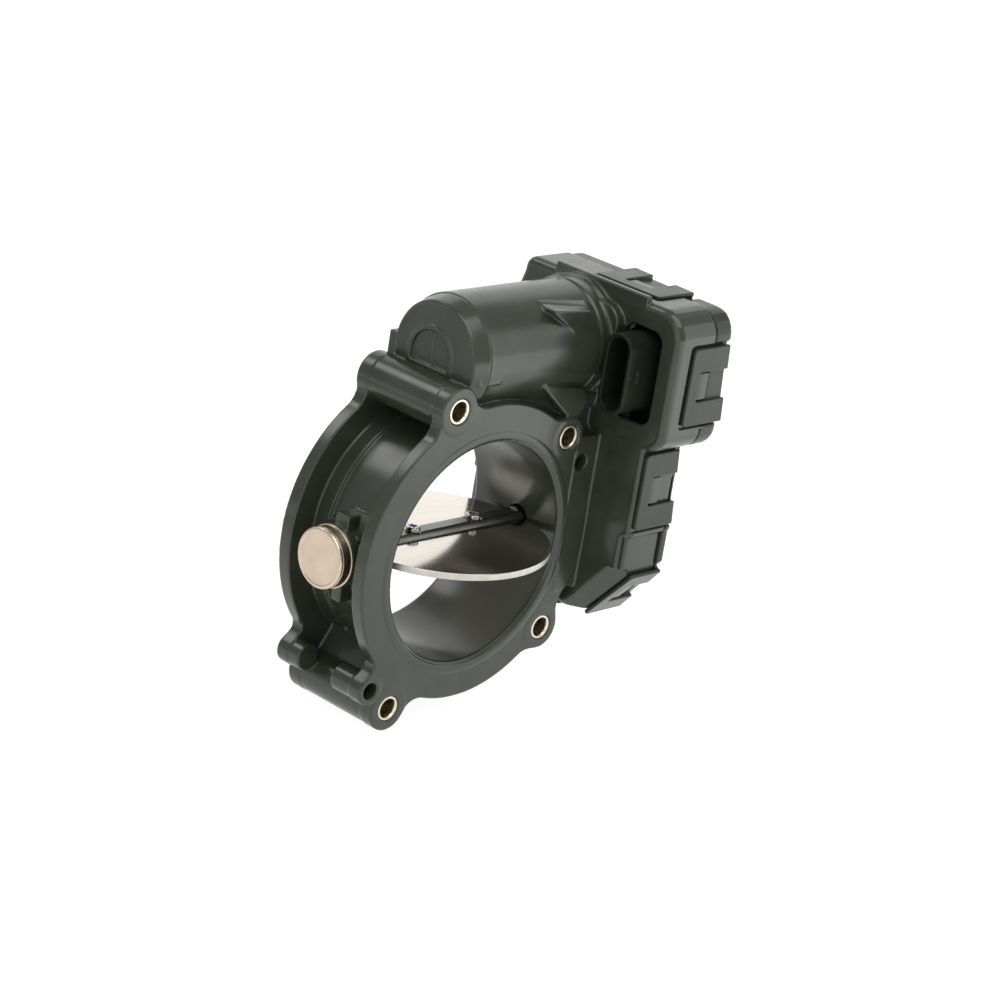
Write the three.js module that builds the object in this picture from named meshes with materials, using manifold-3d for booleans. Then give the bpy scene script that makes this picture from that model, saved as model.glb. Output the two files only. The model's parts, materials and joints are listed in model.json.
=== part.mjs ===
// Electronic throttle body of moulded plastic, in millimetres.
// X runs along the throttle shaft, towards the gear cover. Y runs along the bore, from the front flange
// face at y = 0 to the rear one. Z is up. The origin is the centre of the bore on the front flange face.
import * as THREE from "three";
import { mergeVertices } from "three/addons/utils/BufferGeometryUtils.js";
import Module from "manifold-3d";

const wasm = await Module();
wasm.setup();

// ---- Driving dimensions ----
const GAP = 0.3; // clearance between pieces that touch

// Bore and flanges
const BORE_RADIUS = 41;
const TUBE_RADIUS = 44.6;
const BODY_LENGTH = 42.6;
const FLANGE_RADIUS = 55;
const FLANGE_THICKNESS = 5.4;
const REAR_FLANGE_Y = BODY_LENGTH - FLANGE_THICKNESS;
const BUSH = { outer: 4.55, inner: 3.5 };
const BOLTS = [
  { name: "top_left", x: -20.4, z: 55.1, boss: 8.6 },
  { name: "top_right", x: 38.6, z: 38.0, boss: 7.2 },
  { name: "bottom_right", x: 40.6, z: -35.7, boss: 8.1 },
  { name: "bottom_left", x: -33.3, z: -52.9, boss: 8.4 },
];
const DOWEL = { x: -43.6, z: -44.3, boss: 5.1, hole: 3.1, length: { front: 15, rear: 11 } };
const PILOT_HOLE = { x: 47.5, z: 27.3, radius: 3.1, depth: 8 };

// Throttle shaft and plate
const SHAFT_Y = 20.2;
const SHAFT_RADIUS = 4.1;
const SHAFT_FROM = -54;
const SHAFT_TO = 70;
const SHAFT_FLAT_Z = 3.3;
const PLATE_RADIUS = 40.6;
const PLATE_THICKNESS = 2.4;
const PLATE_SCREWS_X = [-13, 17.5];
const PLATE_SCREW = { shank: 1.5, head: 2.7, headHeight: 1.7, bevel: 0.7 };

// Bearings: the cap side is 8 x 19 x 6, the gear side 8 x 22 x 7
const CAP_BEARING = { outer: 9.4, width: 6, from: -53.6 };
const GEAR_BEARING = { outer: 11, width: 7, from: 46.5 };
const CAP = { radius: 10.9, wall: 1.2, from: -57.3, to: -47 };
const CAP_BOSS_RADIUS = 13;
const CAP_BOSS_END = -52;
const CAP_BOSS_BAR = { y: [14.4, 21.6], z: [-15.8, 16.5] };
const SEAL = { radius: 7, width: 2.3 };
const GEAR_BOSS_RADIUS = 18.4;
const SPRING_POCKET = { radius: 15.6, from: 53.8 };
const SPRING = { radius: 12.6, wire: 0.6, turns: 3, from: 54.9, length: 4.6 };

// Motor
const MOTOR_Z = 68.7;
const BARREL_RADIUS = 21;
const BARREL_FROM = -16;
const BARREL_NOSE = { radius: 19.9, from: -16.6 };
const BARREL_WEB_Y = 6.2;
const SIDE_BOSSES = [
  { tip: [23.5, 84.2], end: [38.7, 79.8], radius: 5.2, y: 1.2 },
  { tip: [25.5, 55.6], end: [40.6, 50.6], radius: 6.2, y: 1 },
];
const SCREW_LOBE = { y: 4.6, z: 78.2, radius: 7.4, from: 49.8 };
const CAN = { radius: 18.2, wall: 1.4, from: -6.5, to: 53 };
const CAN_NOSE = { radius: 6, from: -8.4 };
const WASHER = { outer: 15, inner: 11, thickness: 0.9 };
const WASHER_FROM = CAN.from - GAP - WASHER.thickness;
const MOTOR_SHAFT = { radius: 1.6, from: -7.2, to: 73.5 };
const COMMUTATOR = { radius: 5, from: 40.4, to: 50 };
const BRUSH = { outer: 11, from: 42.5, to: 48.5, half: 2 };
const CONTACT = { from: 55.2, to: 76, half: [0.4, 2.2], offset: 9, height: 10.5, lean: 0.3 };
const MOTOR_BUSH = { radius: 3.4, from: 53.4, to: 58.5 };
const MOTOR_SCREW_ANGLE = (150 * Math.PI) / 180;
const MOTOR_SCREW_RADIUS = 22.5;
const MOTOR_SCREW = { radius: 1.5, head: 3, length: 9.2, under: 60.4 };

// Gear case and cover
const CASE_FROM = 55;
const CASE_FLOOR = 57.6;
const CASE_TO = 74.8;
const COVER_FROM = 75.1;
const COVER_TO = { upper: 85.5, lower: 79 };
const COVER_INSIDE = { upper: 83, lower: 76.9 };
const CASE_WALL = 2.8;
const STEP_Z = 38.5; // below it the case and the cover are shallower
const CASE_TOP = 89.2;
const CASE_BOTTOM = -30.6;
const CASE_FRONT = { upper: -28, lower: -20.6, pad: -18.6 };
const CASE_REAR = { upper: 50, lower: 57 };
const TOP_RIDGE = { y: [-11.2, 33.5], x: 57.5, z: 92.2 };
const SIDE_WEB = { x: 44, y: 10, z: [-22, 37] };
const GASKET = { inset: 0.9, width: 1, from: 74.3, to: 75.9 };

// Connector, whose shroud comes out through a window in the case's back wall
const SHROUD = { y: [-16.5, -4.5], z: [49.8, 79.6], wall: 1.6, mouth: 44.5, floor: 58 };
const WINDOW = { y: [-20.5, -3.2], z: [46.5, 81] };
const PINS = { count: 6, pitch: 4.1, from: 53, to: 59.6, size: [1.5, 0.6] };

// Gears: module 1 and a pressure angle of 25 degrees
const MODULE = 1;
const PRESSURE_ANGLE = (25 * Math.PI) / 180;
const ADDENDUM = 0.75 * MODULE;
const DEDENDUM = 1.05 * MODULE;
const BACKLASH = 0.26; // taken from the thickness of every tooth
const TEETH = { pinion: 12, idlerLarge: 46, idlerSmall: 16, sector: 64 };
const SECTOR_X = [60.5, 66.5];
const IDLER_SMALL_X = [59.6, 67.2];
const IDLER_LARGE_X = [67.2, 72.3];
const PINION_X = [66.2, 73.2];
const TRAVEL = (84 * Math.PI) / 180;
const SECTOR_MARGIN = (8 * Math.PI) / 180;
const SECTOR_HUB_RADIUS = 9;
const IDLER_PIN_RADIUS = 2;

// ---- Materials ----
const plastic = { color: 0x1d2325, roughness: 0.35, metalness: 0 };
const palePlastic = { color: 0xd9d2bf, roughness: 0.5, metalness: 0 };
const steel = { color: 0x9b9c9e, roughness: 0.3, metalness: 1 };
const darkSteel = { color: 0x3a3c40, roughness: 0.4, metalness: 1 };
const nickel = { color: 0xb9ac9c, roughness: 0.28, metalness: 1 };
const brass = { color: 0xd8c98f, roughness: 0.35, metalness: 1 };
const copper = { color: 0xb06a3a, roughness: 0.4, metalness: 1 };
const rubber = { color: 0x17191a, roughness: 0.8, metalness: 0 };
const board = { color: 0x1f5a38, roughness: 0.5, metalness: 0 };
const ferrite = { color: 0x2b2b2d, roughness: 0.6, metalness: 0 };

// ---- Solids ----
function solid(geometry) {
  const bare = geometry.index ? geometry.toNonIndexed() : geometry.clone();
  bare.deleteAttribute("normal");
  bare.deleteAttribute("uv");
  const merged = mergeVertices(bare, 1e-4);
  return new wasm.Manifold(
    new wasm.Mesh({
      numProp: 3,
      vertProperties: merged.attributes.position.array,
      triVerts: new Uint32Array(merged.index.array),
    }),
  );
}

function geometryOf(body) {
  const mesh = body.getMesh();
  const geometry = new THREE.BufferGeometry();
  geometry.setAttribute("position", new THREE.BufferAttribute(mesh.vertProperties, 3));
  geometry.setIndex(new THREE.BufferAttribute(mesh.triVerts, 1));
  geometry.computeVertexNormals();
  return geometry;
}

function join(...bodies) {
  return bodies.flat().reduce((all, body) => all.add(body));
}

function box(x, y, z) {
  const geometry = new THREE.BoxGeometry(x[1] - x[0], y[1] - y[0], z[1] - z[0]);
  geometry.translate((x[0] + x[1]) / 2, (y[0] + y[1]) / 2, (z[0] + z[1]) / 2);
  return solid(geometry);
}

// A cylinder along X about (y, z).
function rodX(radius, x0, x1, y = SHAFT_Y, z = 0, sides = 24) {
  const geometry = new THREE.CylinderGeometry(radius, radius, x1 - x0, sides);
  geometry.rotateZ(-Math.PI / 2);
  geometry.translate((x0 + x1) / 2, y, z);
  return solid(geometry);
}

// A cylinder along Y about (x, z).
function rodY(radius, y0, y1, x = 0, z = 0, sides = 20) {
  const geometry = new THREE.CylinderGeometry(radius, radius, y1 - y0, sides);
  geometry.translate(x, (y0 + y1) / 2, z);
  return solid(geometry);
}

// A body turned about X from a profile of [x, radius] points that starts and ends on the axis or closes.
function turnedX(profile, y = SHAFT_Y, z = 0, sides = 32) {
  const points = profile.map(([x, radius]) => new THREE.Vector2(radius, x));
  const geometry = new THREE.LatheGeometry(points, sides);
  geometry.rotateZ(-Math.PI / 2);
  geometry.translate(0, y, z);
  const body = solid(geometry);
  return body.volume() > 0 ? body : solid(flipped(geometry));
}

function flipped(geometry) {
  const bare = geometry.index ? geometry.toNonIndexed() : geometry.clone();
  const position = bare.attributes.position;
  for (let i = 0; i < position.count; i += 3) {
    const second = new THREE.Vector3().fromBufferAttribute(position, i + 1);
    const third = new THREE.Vector3().fromBufferAttribute(position, i + 2);
    position.setXYZ(i + 1, third.x, third.y, third.z);
    position.setXYZ(i + 2, second.x, second.y, second.z);
  }
  return bare;
}

function ringX(outer, inner, x0, x1, y = SHAFT_Y, z = 0, sides = 24) {
  return rodX(outer, x0, x1, y, z, sides).subtract(rodX(inner, x0 - 1, x1 + 1, y, z, sides));
}

// A prism along X over an outline of [y, z] points.
function prismX(outline, x0, x1) {
  const shape = new THREE.Shape(outline.map(([y, z]) => new THREE.Vector2(y, z)));
  const geometry = new THREE.ExtrudeGeometry(shape, { depth: x1 - x0, bevelEnabled: false });
  const yzx = new THREE.Matrix4().makeBasis(
    new THREE.Vector3(0, 1, 0),
    new THREE.Vector3(0, 0, 1),
    new THREE.Vector3(1, 0, 0),
  );
  geometry.applyMatrix4(yzx);
  geometry.translate(x0, 0, 0);
  return solid(geometry);
}

// A prism along Y over an outline of [x, z] points.
function prismY(outline, y0, y1) {
  const shape = new THREE.Shape(outline.map(([x, z]) => new THREE.Vector2(z, x)));
  const geometry = new THREE.ExtrudeGeometry(shape, { depth: y1 - y0, bevelEnabled: false });
  const zxy = new THREE.Matrix4().makeBasis(
    new THREE.Vector3(0, 0, 1),
    new THREE.Vector3(1, 0, 0),
    new THREE.Vector3(0, 1, 0),
  );
  geometry.applyMatrix4(zxy);
  geometry.translate(0, y0, 0);
  return solid(geometry);
}

// An outline moved inwards by a distance, for points that run counterclockwise.
function inset(points, distance) {
  const sides = points.map(([u, v], i) => {
    const [nextU, nextV] = points[(i + 1) % points.length];
    const length = Math.hypot(nextU - u, nextV - v);
    const along = [(nextU - u) / length, (nextV - v) / length];
    return { u: u - along[1] * distance, v: v + along[0] * distance, along };
  });
  return points.map((_, i) => {
    const b = sides[i];
    const a = sides[(i + points.length - 1) % points.length];
    const cross = a.along[0] * b.along[1] - a.along[1] * b.along[0];
    const reach = ((b.u - a.u) * b.along[1] - (b.v - a.v) * b.along[0]) / cross;
    return [a.u + a.along[0] * reach, a.v + a.along[1] * reach];
  });
}

// ---- Gears ----
const involute = (angle) => Math.tan(angle) - angle;

// Half the angle that a tooth takes up at a radius.
function halfTooth(teeth, radius) {
  const pitch = (teeth * MODULE) / 2;
  const base = pitch * Math.cos(PRESSURE_ANGLE);
  const atPitch = (Math.PI * MODULE) / 2 - BACKLASH;
  const angle = Math.acos(Math.min(1, base / Math.max(radius, base)));
  return atPitch / (2 * pitch) + involute(PRESSURE_ANGLE) - involute(angle);
}

// The points of the teeth from first to last, the first one centred at an angle.
function toothPoints(teeth, first, count, centre) {
  const pitch = (teeth * MODULE) / 2;
  const tip = pitch + ADDENDUM;
  const root = pitch - DEDENDUM;
  const points = [];
  const put = (radius, angle) =>
    points.push([centre[0] + radius * Math.cos(angle), centre[1] + radius * Math.sin(angle)]);
  for (let i = 0; i < count; i++) {
    const middle = first + (i * 2 * Math.PI) / teeth;
    put(root, middle - halfTooth(teeth, root));
    put(tip, middle - halfTooth(teeth, tip));
    put(tip, middle + halfTooth(teeth, tip));
    put(root, middle + halfTooth(teeth, root));
  }
  return points;
}

function pitchRadius(teeth) {
  return (teeth * MODULE) / 2;
}

const toothStep = (teeth) => (2 * Math.PI) / teeth;
const THROTTLE_AXIS = [SHAFT_Y, 0];
const MOTOR_AXIS = [SHAFT_Y, MOTOR_Z];
const LOWER_REACH = pitchRadius(TEETH.sector) + pitchRadius(TEETH.idlerSmall);
const UPPER_REACH = pitchRadius(TEETH.idlerLarge) + pitchRadius(TEETH.pinion);
const IDLER_HEIGHT = (LOWER_REACH ** 2 - UPPER_REACH ** 2 + MOTOR_Z ** 2) / (2 * MOTOR_Z);
const IDLER_AXIS = [SHAFT_Y + Math.sqrt(LOWER_REACH ** 2 - IDLER_HEIGHT ** 2), IDLER_HEIGHT];
const LOWER_MESH = Math.atan2(IDLER_AXIS[1], IDLER_AXIS[0] - SHAFT_Y);
const UPPER_MESH = Math.atan2(MOTOR_Z - IDLER_AXIS[1], SHAFT_Y - IDLER_AXIS[0]);

// ---- Gear case outline, counterclockwise in [y, z] ----
const arc = (y, z, radius, from, to, steps) =>
  Array.from({ length: steps + 1 }, (_, i) => {
    const angle = ((from + ((to - from) * i) / steps) * Math.PI) / 180;
    return [y + radius * Math.cos(angle), z + radius * Math.sin(angle)];
  });
const FRONT_CORNER = { top: 8, step: 7 };
const CASE_UPPER = [
  ...arc(CASE_FRONT.upper + FRONT_CORNER.top, CASE_TOP - FRONT_CORNER.top, FRONT_CORNER.top, 90, 180, 4),
  ...arc(CASE_FRONT.upper + FRONT_CORNER.step, STEP_Z + FRONT_CORNER.step, FRONT_CORNER.step, 180, 270, 4),
];
const CASE_OUTLINE = [
  ...CASE_UPPER,
  [CASE_FRONT.lower, STEP_Z],
  [CASE_FRONT.lower, 5],
  [CASE_FRONT.pad, 4],
  [CASE_FRONT.pad, -12.1],
  [-2.5, CASE_BOTTOM],
  [38, CASE_BOTTOM],
  [CASE_REAR.lower, -9],
  [CASE_REAR.lower, 44],
  [CASE_REAR.upper, 56],
  [CASE_REAR.upper, 78],
  [48, 84],
  [47.4, CASE_TOP - 2],
  [45.4, CASE_TOP],
];
const UPPER_OUTLINE = [
  ...CASE_UPPER,
  [54.5, STEP_Z],
  [54.5, 48.3],
  [CASE_REAR.upper, 56],
  [CASE_REAR.upper, 78],
  [48, 84],
  [47.4, CASE_TOP - 2],
  [45.4, CASE_TOP],
];

// ---- Snap clips ----
// Each is a bar over the wall of the case, held by two legs from the cover. A catch on the wall sits between
// the legs, behind the bar.
// angle turns the outward direction from +Z towards -Y, y and z are the middle of the wall under the clip.
const CLIPS = [
  { y: CASE_FRONT.upper, z: 63, angle: 90, width: 29, from: 63.5, to: 84 },
  { y: CASE_FRONT.lower, z: 21.8, angle: 90, width: 29, from: 56.7, to: 76 },
  { y: 5.2, z: CASE_TOP, angle: 0, width: 30.5, from: 62.5, to: 83 },
  { y: -11.3, z: -21.3, angle: 131.1, width: 29, from: 56.7, to: 76.7 },
  { y: 18, z: CASE_BOTTOM, angle: 180, width: 22, from: 56.7, to: 76.7 },
  { y: CASE_REAR.lower, z: 18, angle: 270, width: 29, from: 56.7, to: 76.7 },
  { y: CASE_REAR.upper, z: 68, angle: 270, width: 20, from: 63.5, to: 83.5 },
];
const CLIP = { thickness: 1.5, bar: 5, slotShare: 0.38, catchLength: 5, catchHeight: 1.2 };

// A box in a clip's own frame: x along the shaft, u along the wall, n outwards from it.
function onWall(clip, x, u, n) {
  const geometry = new THREE.BoxGeometry(x[1] - x[0], u[1] - u[0], n[1] - n[0]);
  geometry.translate((x[0] + x[1]) / 2, (u[0] + u[1]) / 2, (n[0] + n[1]) / 2);
  geometry.rotateX((clip.angle * Math.PI) / 180);
  geometry.translate(0, clip.y, clip.z);
  return solid(geometry);
}

const slotHalf = (clip) => (clip.width * CLIP.slotShare) / 2;
const slotFrom = (clip) => Math.min(clip.from + CLIP.bar, CASE_TO - CLIP.catchLength - 1);

function clipPlate(clip) {
  const half = clip.width / 2;
  const plate = onWall(clip, [clip.from, clip.to], [-half, half], [GAP, GAP + CLIP.thickness]);
  const foot = onWall(clip, [COVER_FROM, clip.to], [-half, half], [-1, 1]);
  const slot = onWall(
    clip,
    [slotFrom(clip), clip.to + 1],
    [-slotHalf(clip), slotHalf(clip)],
    [0, 9],
  );
  return plate.add(foot).subtract(slot);
}

function clipCatch(clip) {
  const half = slotHalf(clip) - 0.5;
  const from = slotFrom(clip) + 0.5;
  return onWall(clip, [from, from + CLIP.catchLength], [-half, half], [-1, CLIP.catchHeight]);
}

// ---- Root body: housing and what is fixed in it ----
function housing() {
  const body = join(
    rodY(TUBE_RADIUS, 0, BODY_LENGTH, 0, 0, 64),
    [0, REAR_FLANGE_Y].map((y) => flange(y)),
    BOLTS.map((bolt) => rodY(bolt.boss, 0, BODY_LENGTH, bolt.x, bolt.z)),
    rodY(DOWEL.boss, 0, DOWEL.length.front, DOWEL.x, DOWEL.z),
    rodY(DOWEL.boss, BODY_LENGTH - DOWEL.length.rear, BODY_LENGTH, DOWEL.x, DOWEL.z),
    rodX(CAP_BOSS_RADIUS, CAP_BOSS_END, -40),
    box([CAP_BOSS_END, -43], CAP_BOSS_BAR.y, CAP_BOSS_BAR.z),
    rodX(GEAR_BOSS_RADIUS, 38, CASE_FROM + 1),
    box([SIDE_WEB.x, CASE_FROM + 1], [0, SIDE_WEB.y], SIDE_WEB.z),
    bossWeb(BOLTS[3]),
    motorBarrel(),
    gearCase(),
  );
  return body.subtract(join(housingCuts()));
}

// One flange: a disc with an ear round each bolt.
function flange(y) {
  const disc = rodY(FLANGE_RADIUS, y, y + FLANGE_THICKNESS, 0, 0, 64);
  const ears = BOLTS.map((bolt) => {
    const reach = Math.hypot(bolt.x, bolt.z);
    const across = [-bolt.z / reach, bolt.x / reach];
    const foot = [bolt.x * 0.72, bolt.z * 0.72];
    const wide = bolt.boss * 2.1;
    return prismY(
      [
        [foot[0] + across[0] * wide, foot[1] + across[1] * wide],
        [bolt.x + across[0] * bolt.boss, bolt.z + across[1] * bolt.boss],
        [bolt.x - across[0] * bolt.boss, bolt.z - across[1] * bolt.boss],
        [foot[0] - across[0] * wide, foot[1] - across[1] * wide],
      ],
      y,
      y + FLANGE_THICKNESS,
    );
  });
  const toDowel = rodY(DOWEL.boss, y, y + FLANGE_THICKNESS, DOWEL.x, DOWEL.z);
  const besideDowel = prismY(
    [
      [BOLTS[3].x - 4, BOLTS[3].z - 7.2],
      [DOWEL.x - 4.4, DOWEL.z - 3.4],
      [-38, -38],
      [-28, -44],
    ],
    y,
    y + FLANGE_THICKNESS,
  );
  return join(disc, ears, toDowel, besideDowel);
}

// A rib between the tube and the boss of a bolt.
function bossWeb(bolt) {
  const reach = Math.hypot(bolt.x, bolt.z);
  const along = [bolt.x / reach, bolt.z / reach];
  const corner = (far, aside) => [
    along[0] * far - along[1] * aside,
    along[1] * far + along[0] * aside,
  ];
  const outline = [corner(43, -5), corner(reach, -5), corner(reach, 5), corner(43, 5)];
  return prismY(outline, FLANGE_THICKNESS - 1, REAR_FLANGE_Y + 1);
}

// The barrel round the motor, with the web that joins it to the bore tube.
function motorBarrel() {
  const barrel = rodX(BARREL_RADIUS, BARREL_FROM, CASE_FROM + 1, SHAFT_Y, MOTOR_Z, 40);
  const nose = rodX(BARREL_NOSE.radius, BARREL_NOSE.from, BARREL_FROM + 1, SHAFT_Y, MOTOR_Z, 40);
  const web = box([BARREL_FROM, CASE_FROM + 1], [BARREL_WEB_Y, REAR_FLANGE_Y + 1], [40, MOTOR_Z - 6]);
  const lobe = rodX(SCREW_LOBE.radius, SCREW_LOBE.from, CASE_FROM + 1, SCREW_LOBE.y, SCREW_LOBE.z, 24);
  const [, [rearY, rearZ]] = motorScrewPlaces();
  const rearBoss = rodX(4.4, 34, CASE_FROM + 1, rearY, rearZ, 16);
  const lowerBoss = rodX(5, 43, CASE_FROM + 1, 6, 49.6, 16);
  return join(barrel, nose, web, lobe, rearBoss, lowerBoss, SIDE_BOSSES.map((boss) => sideBoss(boss)));
}

// A teardrop on the barrel's front: a round end and a tip that runs out on the barrel.
function sideBoss(boss) {
  const reach = [boss.tip[0] - boss.end[0], boss.tip[1] - boss.end[1]];
  const towardsTip = (Math.atan2(reach[1], reach[0]) * 180) / Math.PI;
  const tangent = (Math.acos(boss.radius / Math.hypot(...reach)) * 180) / Math.PI;
  const round = arc(...boss.end, boss.radius, towardsTip + tangent, towardsTip - tangent + 360, 12);
  return prismY([boss.tip, ...round], boss.y, 16);
}

function gearCase() {
  const shell = prismX(CASE_OUTLINE, CASE_FROM, CASE_TO);
  const inside = prismX(inset(CASE_OUTLINE, CASE_WALL), CASE_FLOOR, CASE_TO + 1);
  const pinBoss = rodX(5.5, 49, CASE_FLOOR + 1, ...IDLER_AXIS, 20);
  const topRidge = box([CASE_FROM, TOP_RIDGE.x], TOP_RIDGE.y, [CASE_TOP - 1, TOP_RIDGE.z]);
  const catches = CLIPS.map((clip) => clipCatch(clip));
  return join(shell.subtract(inside), pinBoss, topRidge, catches).subtract(gasketGroove());
}

function gasketGroove() {
  const outer = inset(CASE_OUTLINE, GASKET.inset - GAP);
  const inner = inset(CASE_OUTLINE, GASKET.inset + GASKET.width + GAP);
  const from = GASKET.from - GAP;
  const to = GASKET.to + GAP;
  return prismX(outer, from, to).subtract(prismX(inner, from - 1, to + 1));
}

function housingCuts() {
  const screws = motorScrewPlaces().map(([y, z]) =>
    rodX(MOTOR_SCREW.radius + GAP, MOTOR_SCREW.under - MOTOR_SCREW.length - 1, CASE_FLOOR + 1, y, z, 12),
  );
  return [
    rodY(BORE_RADIUS, -1, BODY_LENGTH + 1, 0, 0, 64),
    ...BOLTS.map((bolt) => rodY(BUSH.outer + GAP, -1, BODY_LENGTH + 1, bolt.x, bolt.z)),
    rodY(DOWEL.hole, -1, DOWEL.length.front - 2, DOWEL.x, DOWEL.z, 16),
    rodY(DOWEL.hole, BODY_LENGTH - DOWEL.length.rear + 2, BODY_LENGTH + 1, DOWEL.x, DOWEL.z, 16),
    rodY(PILOT_HOLE.radius, -1, PILOT_HOLE.depth, PILOT_HOLE.x, PILOT_HOLE.z, 16),
    // shaft, seals and bearings
    rodX(SHAFT_RADIUS + GAP, -50, 60, SHAFT_Y, 0, 24),
    rodX(SEAL.radius + GAP, -46.7, -43.7),
    rodX(CAP.radius + GAP, CAP_BOSS_END - 1, CAP.to + GAP),
    rodX(SEAL.radius + GAP, 43.7, 46.3),
    rodX(GEAR_BEARING.outer + GAP, GEAR_BEARING.from - GAP, CASE_FLOOR + 1),
    rodX(SPRING_POCKET.radius, SPRING_POCKET.from, CASE_FLOOR + 1),
    // motor and idler pin
    rodX(CAN.radius + GAP, CAN.from - GAP, CASE_FLOOR + 1, SHAFT_Y, MOTOR_Z, 40),
    rodX(CAN_NOSE.radius + GAP, CAN_NOSE.from - GAP, CAN.from, SHAFT_Y, MOTOR_Z, 24),
    rodX(WASHER.outer + GAP, WASHER_FROM - GAP, CAN.from, SHAFT_Y, MOTOR_Z, 24),
    rodX(IDLER_PIN_RADIUS + GAP, 51, CASE_FLOOR + 2, ...IDLER_AXIS, 16),
    ...screws,
    box([CASE_FROM - 1, CASE_FLOOR + 1], WINDOW.y, WINDOW.z),
  ];
}

function motorScrewPlaces() {
  return [0, Math.PI].map((turn) => [
    SHAFT_Y + MOTOR_SCREW_RADIUS * Math.cos(MOTOR_SCREW_ANGLE + turn),
    MOTOR_Z + MOTOR_SCREW_RADIUS * Math.sin(MOTOR_SCREW_ANGLE + turn),
  ]);
}

function flangeBush(bolt) {
  const outer = rodY(BUSH.outer, 0, BODY_LENGTH, bolt.x, bolt.z);
  return outer.subtract(rodY(BUSH.inner, -1, BODY_LENGTH + 1, bolt.x, bolt.z));
}

function endCap() {
  const inner = CAP.radius - CAP.wall;
  return turnedX([
    [CAP.from, 0],
    [CAP.from, CAP.radius - 0.8],
    [CAP.from + 0.8, CAP.radius],
    [CAP.to, CAP.radius],
    [CAP.to, inner],
    [CAP.from + CAP.wall, inner],
    [CAP.from + CAP.wall, 0],
  ]);
}

// The three rings of a ball bearing share its width and keep running clearance.
function bearingRings(bearing) {
  const inner = SHAFT_RADIUS + 0.2;
  const share = (bearing.outer - inner - 2 * GAP) / 3;
  const to = bearing.from + bearing.width;
  const cageOuter = bearing.outer - share - GAP;
  return {
    outer_ring: ringX(bearing.outer, bearing.outer - share, bearing.from, to),
    ball_cage: ringX(cageOuter, cageOuter - share, bearing.from + 0.8, to - 0.8),
    inner_ring: ringX(inner + share, inner, bearing.from, to),
  };
}

function shaftSeal(from) {
  return ringX(SEAL.radius, SHAFT_RADIUS + 0.2, from, from + SEAL.width, SHAFT_Y, 0, 24);
}

class SpringPath extends THREE.Curve {
  constructor(radius, turns, from, length) {
    super();
    Object.assign(this, { radius, turns, from, length });
  }
  getPoint(t, target = new THREE.Vector3()) {
    const angle = 2 * Math.PI * this.turns * t;
    return target.set(
      this.from + this.length * t,
      SHAFT_Y + this.radius * Math.cos(angle),
      this.radius * Math.sin(angle),
    );
  }
}

function returnSpring() {
  const section = new THREE.Shape();
  section.absarc(0, 0, SPRING.wire, 0, 2 * Math.PI);
  const extrudePath = new SpringPath(SPRING.radius, SPRING.turns, SPRING.from, SPRING.length);
  const settings = { extrudePath, steps: 20 * SPRING.turns, curveSegments: 3, bevelEnabled: false };
  return solid(new THREE.ExtrudeGeometry(section, settings));
}

function idlerPin() {
  return rodX(IDLER_PIN_RADIUS, 51.3, IDLER_LARGE_X[1] + 1.6, ...IDLER_AXIS, 16);
}

function coverGasket() {
  const outer = prismX(inset(CASE_OUTLINE, GASKET.inset), GASKET.from, GASKET.to);
  const hole = prismX(inset(CASE_OUTLINE, GASKET.inset + GASKET.width), GASKET.from - 1, GASKET.to + 1);
  return outer.subtract(hole);
}

function gearCover() {
  const skin = join(
    prismX(CASE_OUTLINE, COVER_FROM, COVER_TO.lower),
    prismX(UPPER_OUTLINE, COVER_FROM, COVER_TO.upper),
  );
  const inside = join(
    prismX(inset(CASE_OUTLINE, CASE_WALL), COVER_FROM - 1, COVER_INSIDE.lower),
    prismX(inset(UPPER_OUTLINE, CASE_WALL), COVER_FROM - 1, COVER_INSIDE.upper),
  );
  const shell = skin.subtract(inside).add(join(CLIPS.map((clip) => clipPlate(clip))));
  return shell.subtract(gasketGroove()).add(connector());
}

// The connector block reaches from the cover's end wall to the shroud's mouth.
function connector() {
  const block = box([SHROUD.mouth, COVER_INSIDE.upper + 1], SHROUD.y, SHROUD.z);
  const socket = box(
    [SHROUD.mouth - 1, SHROUD.floor],
    [SHROUD.y[0] + SHROUD.wall, SHROUD.y[1] - SHROUD.wall],
    [SHROUD.z[0] + SHROUD.wall, SHROUD.z[1] - SHROUD.wall],
  );
  return block.subtract(join(socket, pinSolids(GAP, PINS.to + GAP)));
}

function pinSolids(grow, to) {
  const y = (SHROUD.y[0] + SHROUD.y[1]) / 2;
  const middle = (SHROUD.z[0] + SHROUD.z[1]) / 2;
  const [wide, thick] = PINS.size;
  return Array.from({ length: PINS.count }, (_, i) => {
    const z = middle + (i - (PINS.count - 1) / 2) * PINS.pitch;
    return box(
      [PINS.from, to],
      [y - thick / 2 - grow, y + thick / 2 + grow],
      [z - wide / 2 - grow, z + wide / 2 + grow],
    );
  });
}

// ---- Sensor board, under the cover ----
const BOARD_X = [75, 76.6];

function sensorBoard() {
  return box(BOARD_X, [7, 34], [-14, 13]);
}

function sensorChip() {
  return box([BOARD_X[0] - GAP - 1, BOARD_X[0] - GAP], [SHAFT_Y - 3, SHAFT_Y + 3], [-2.5, 2.5]);
}

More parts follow.
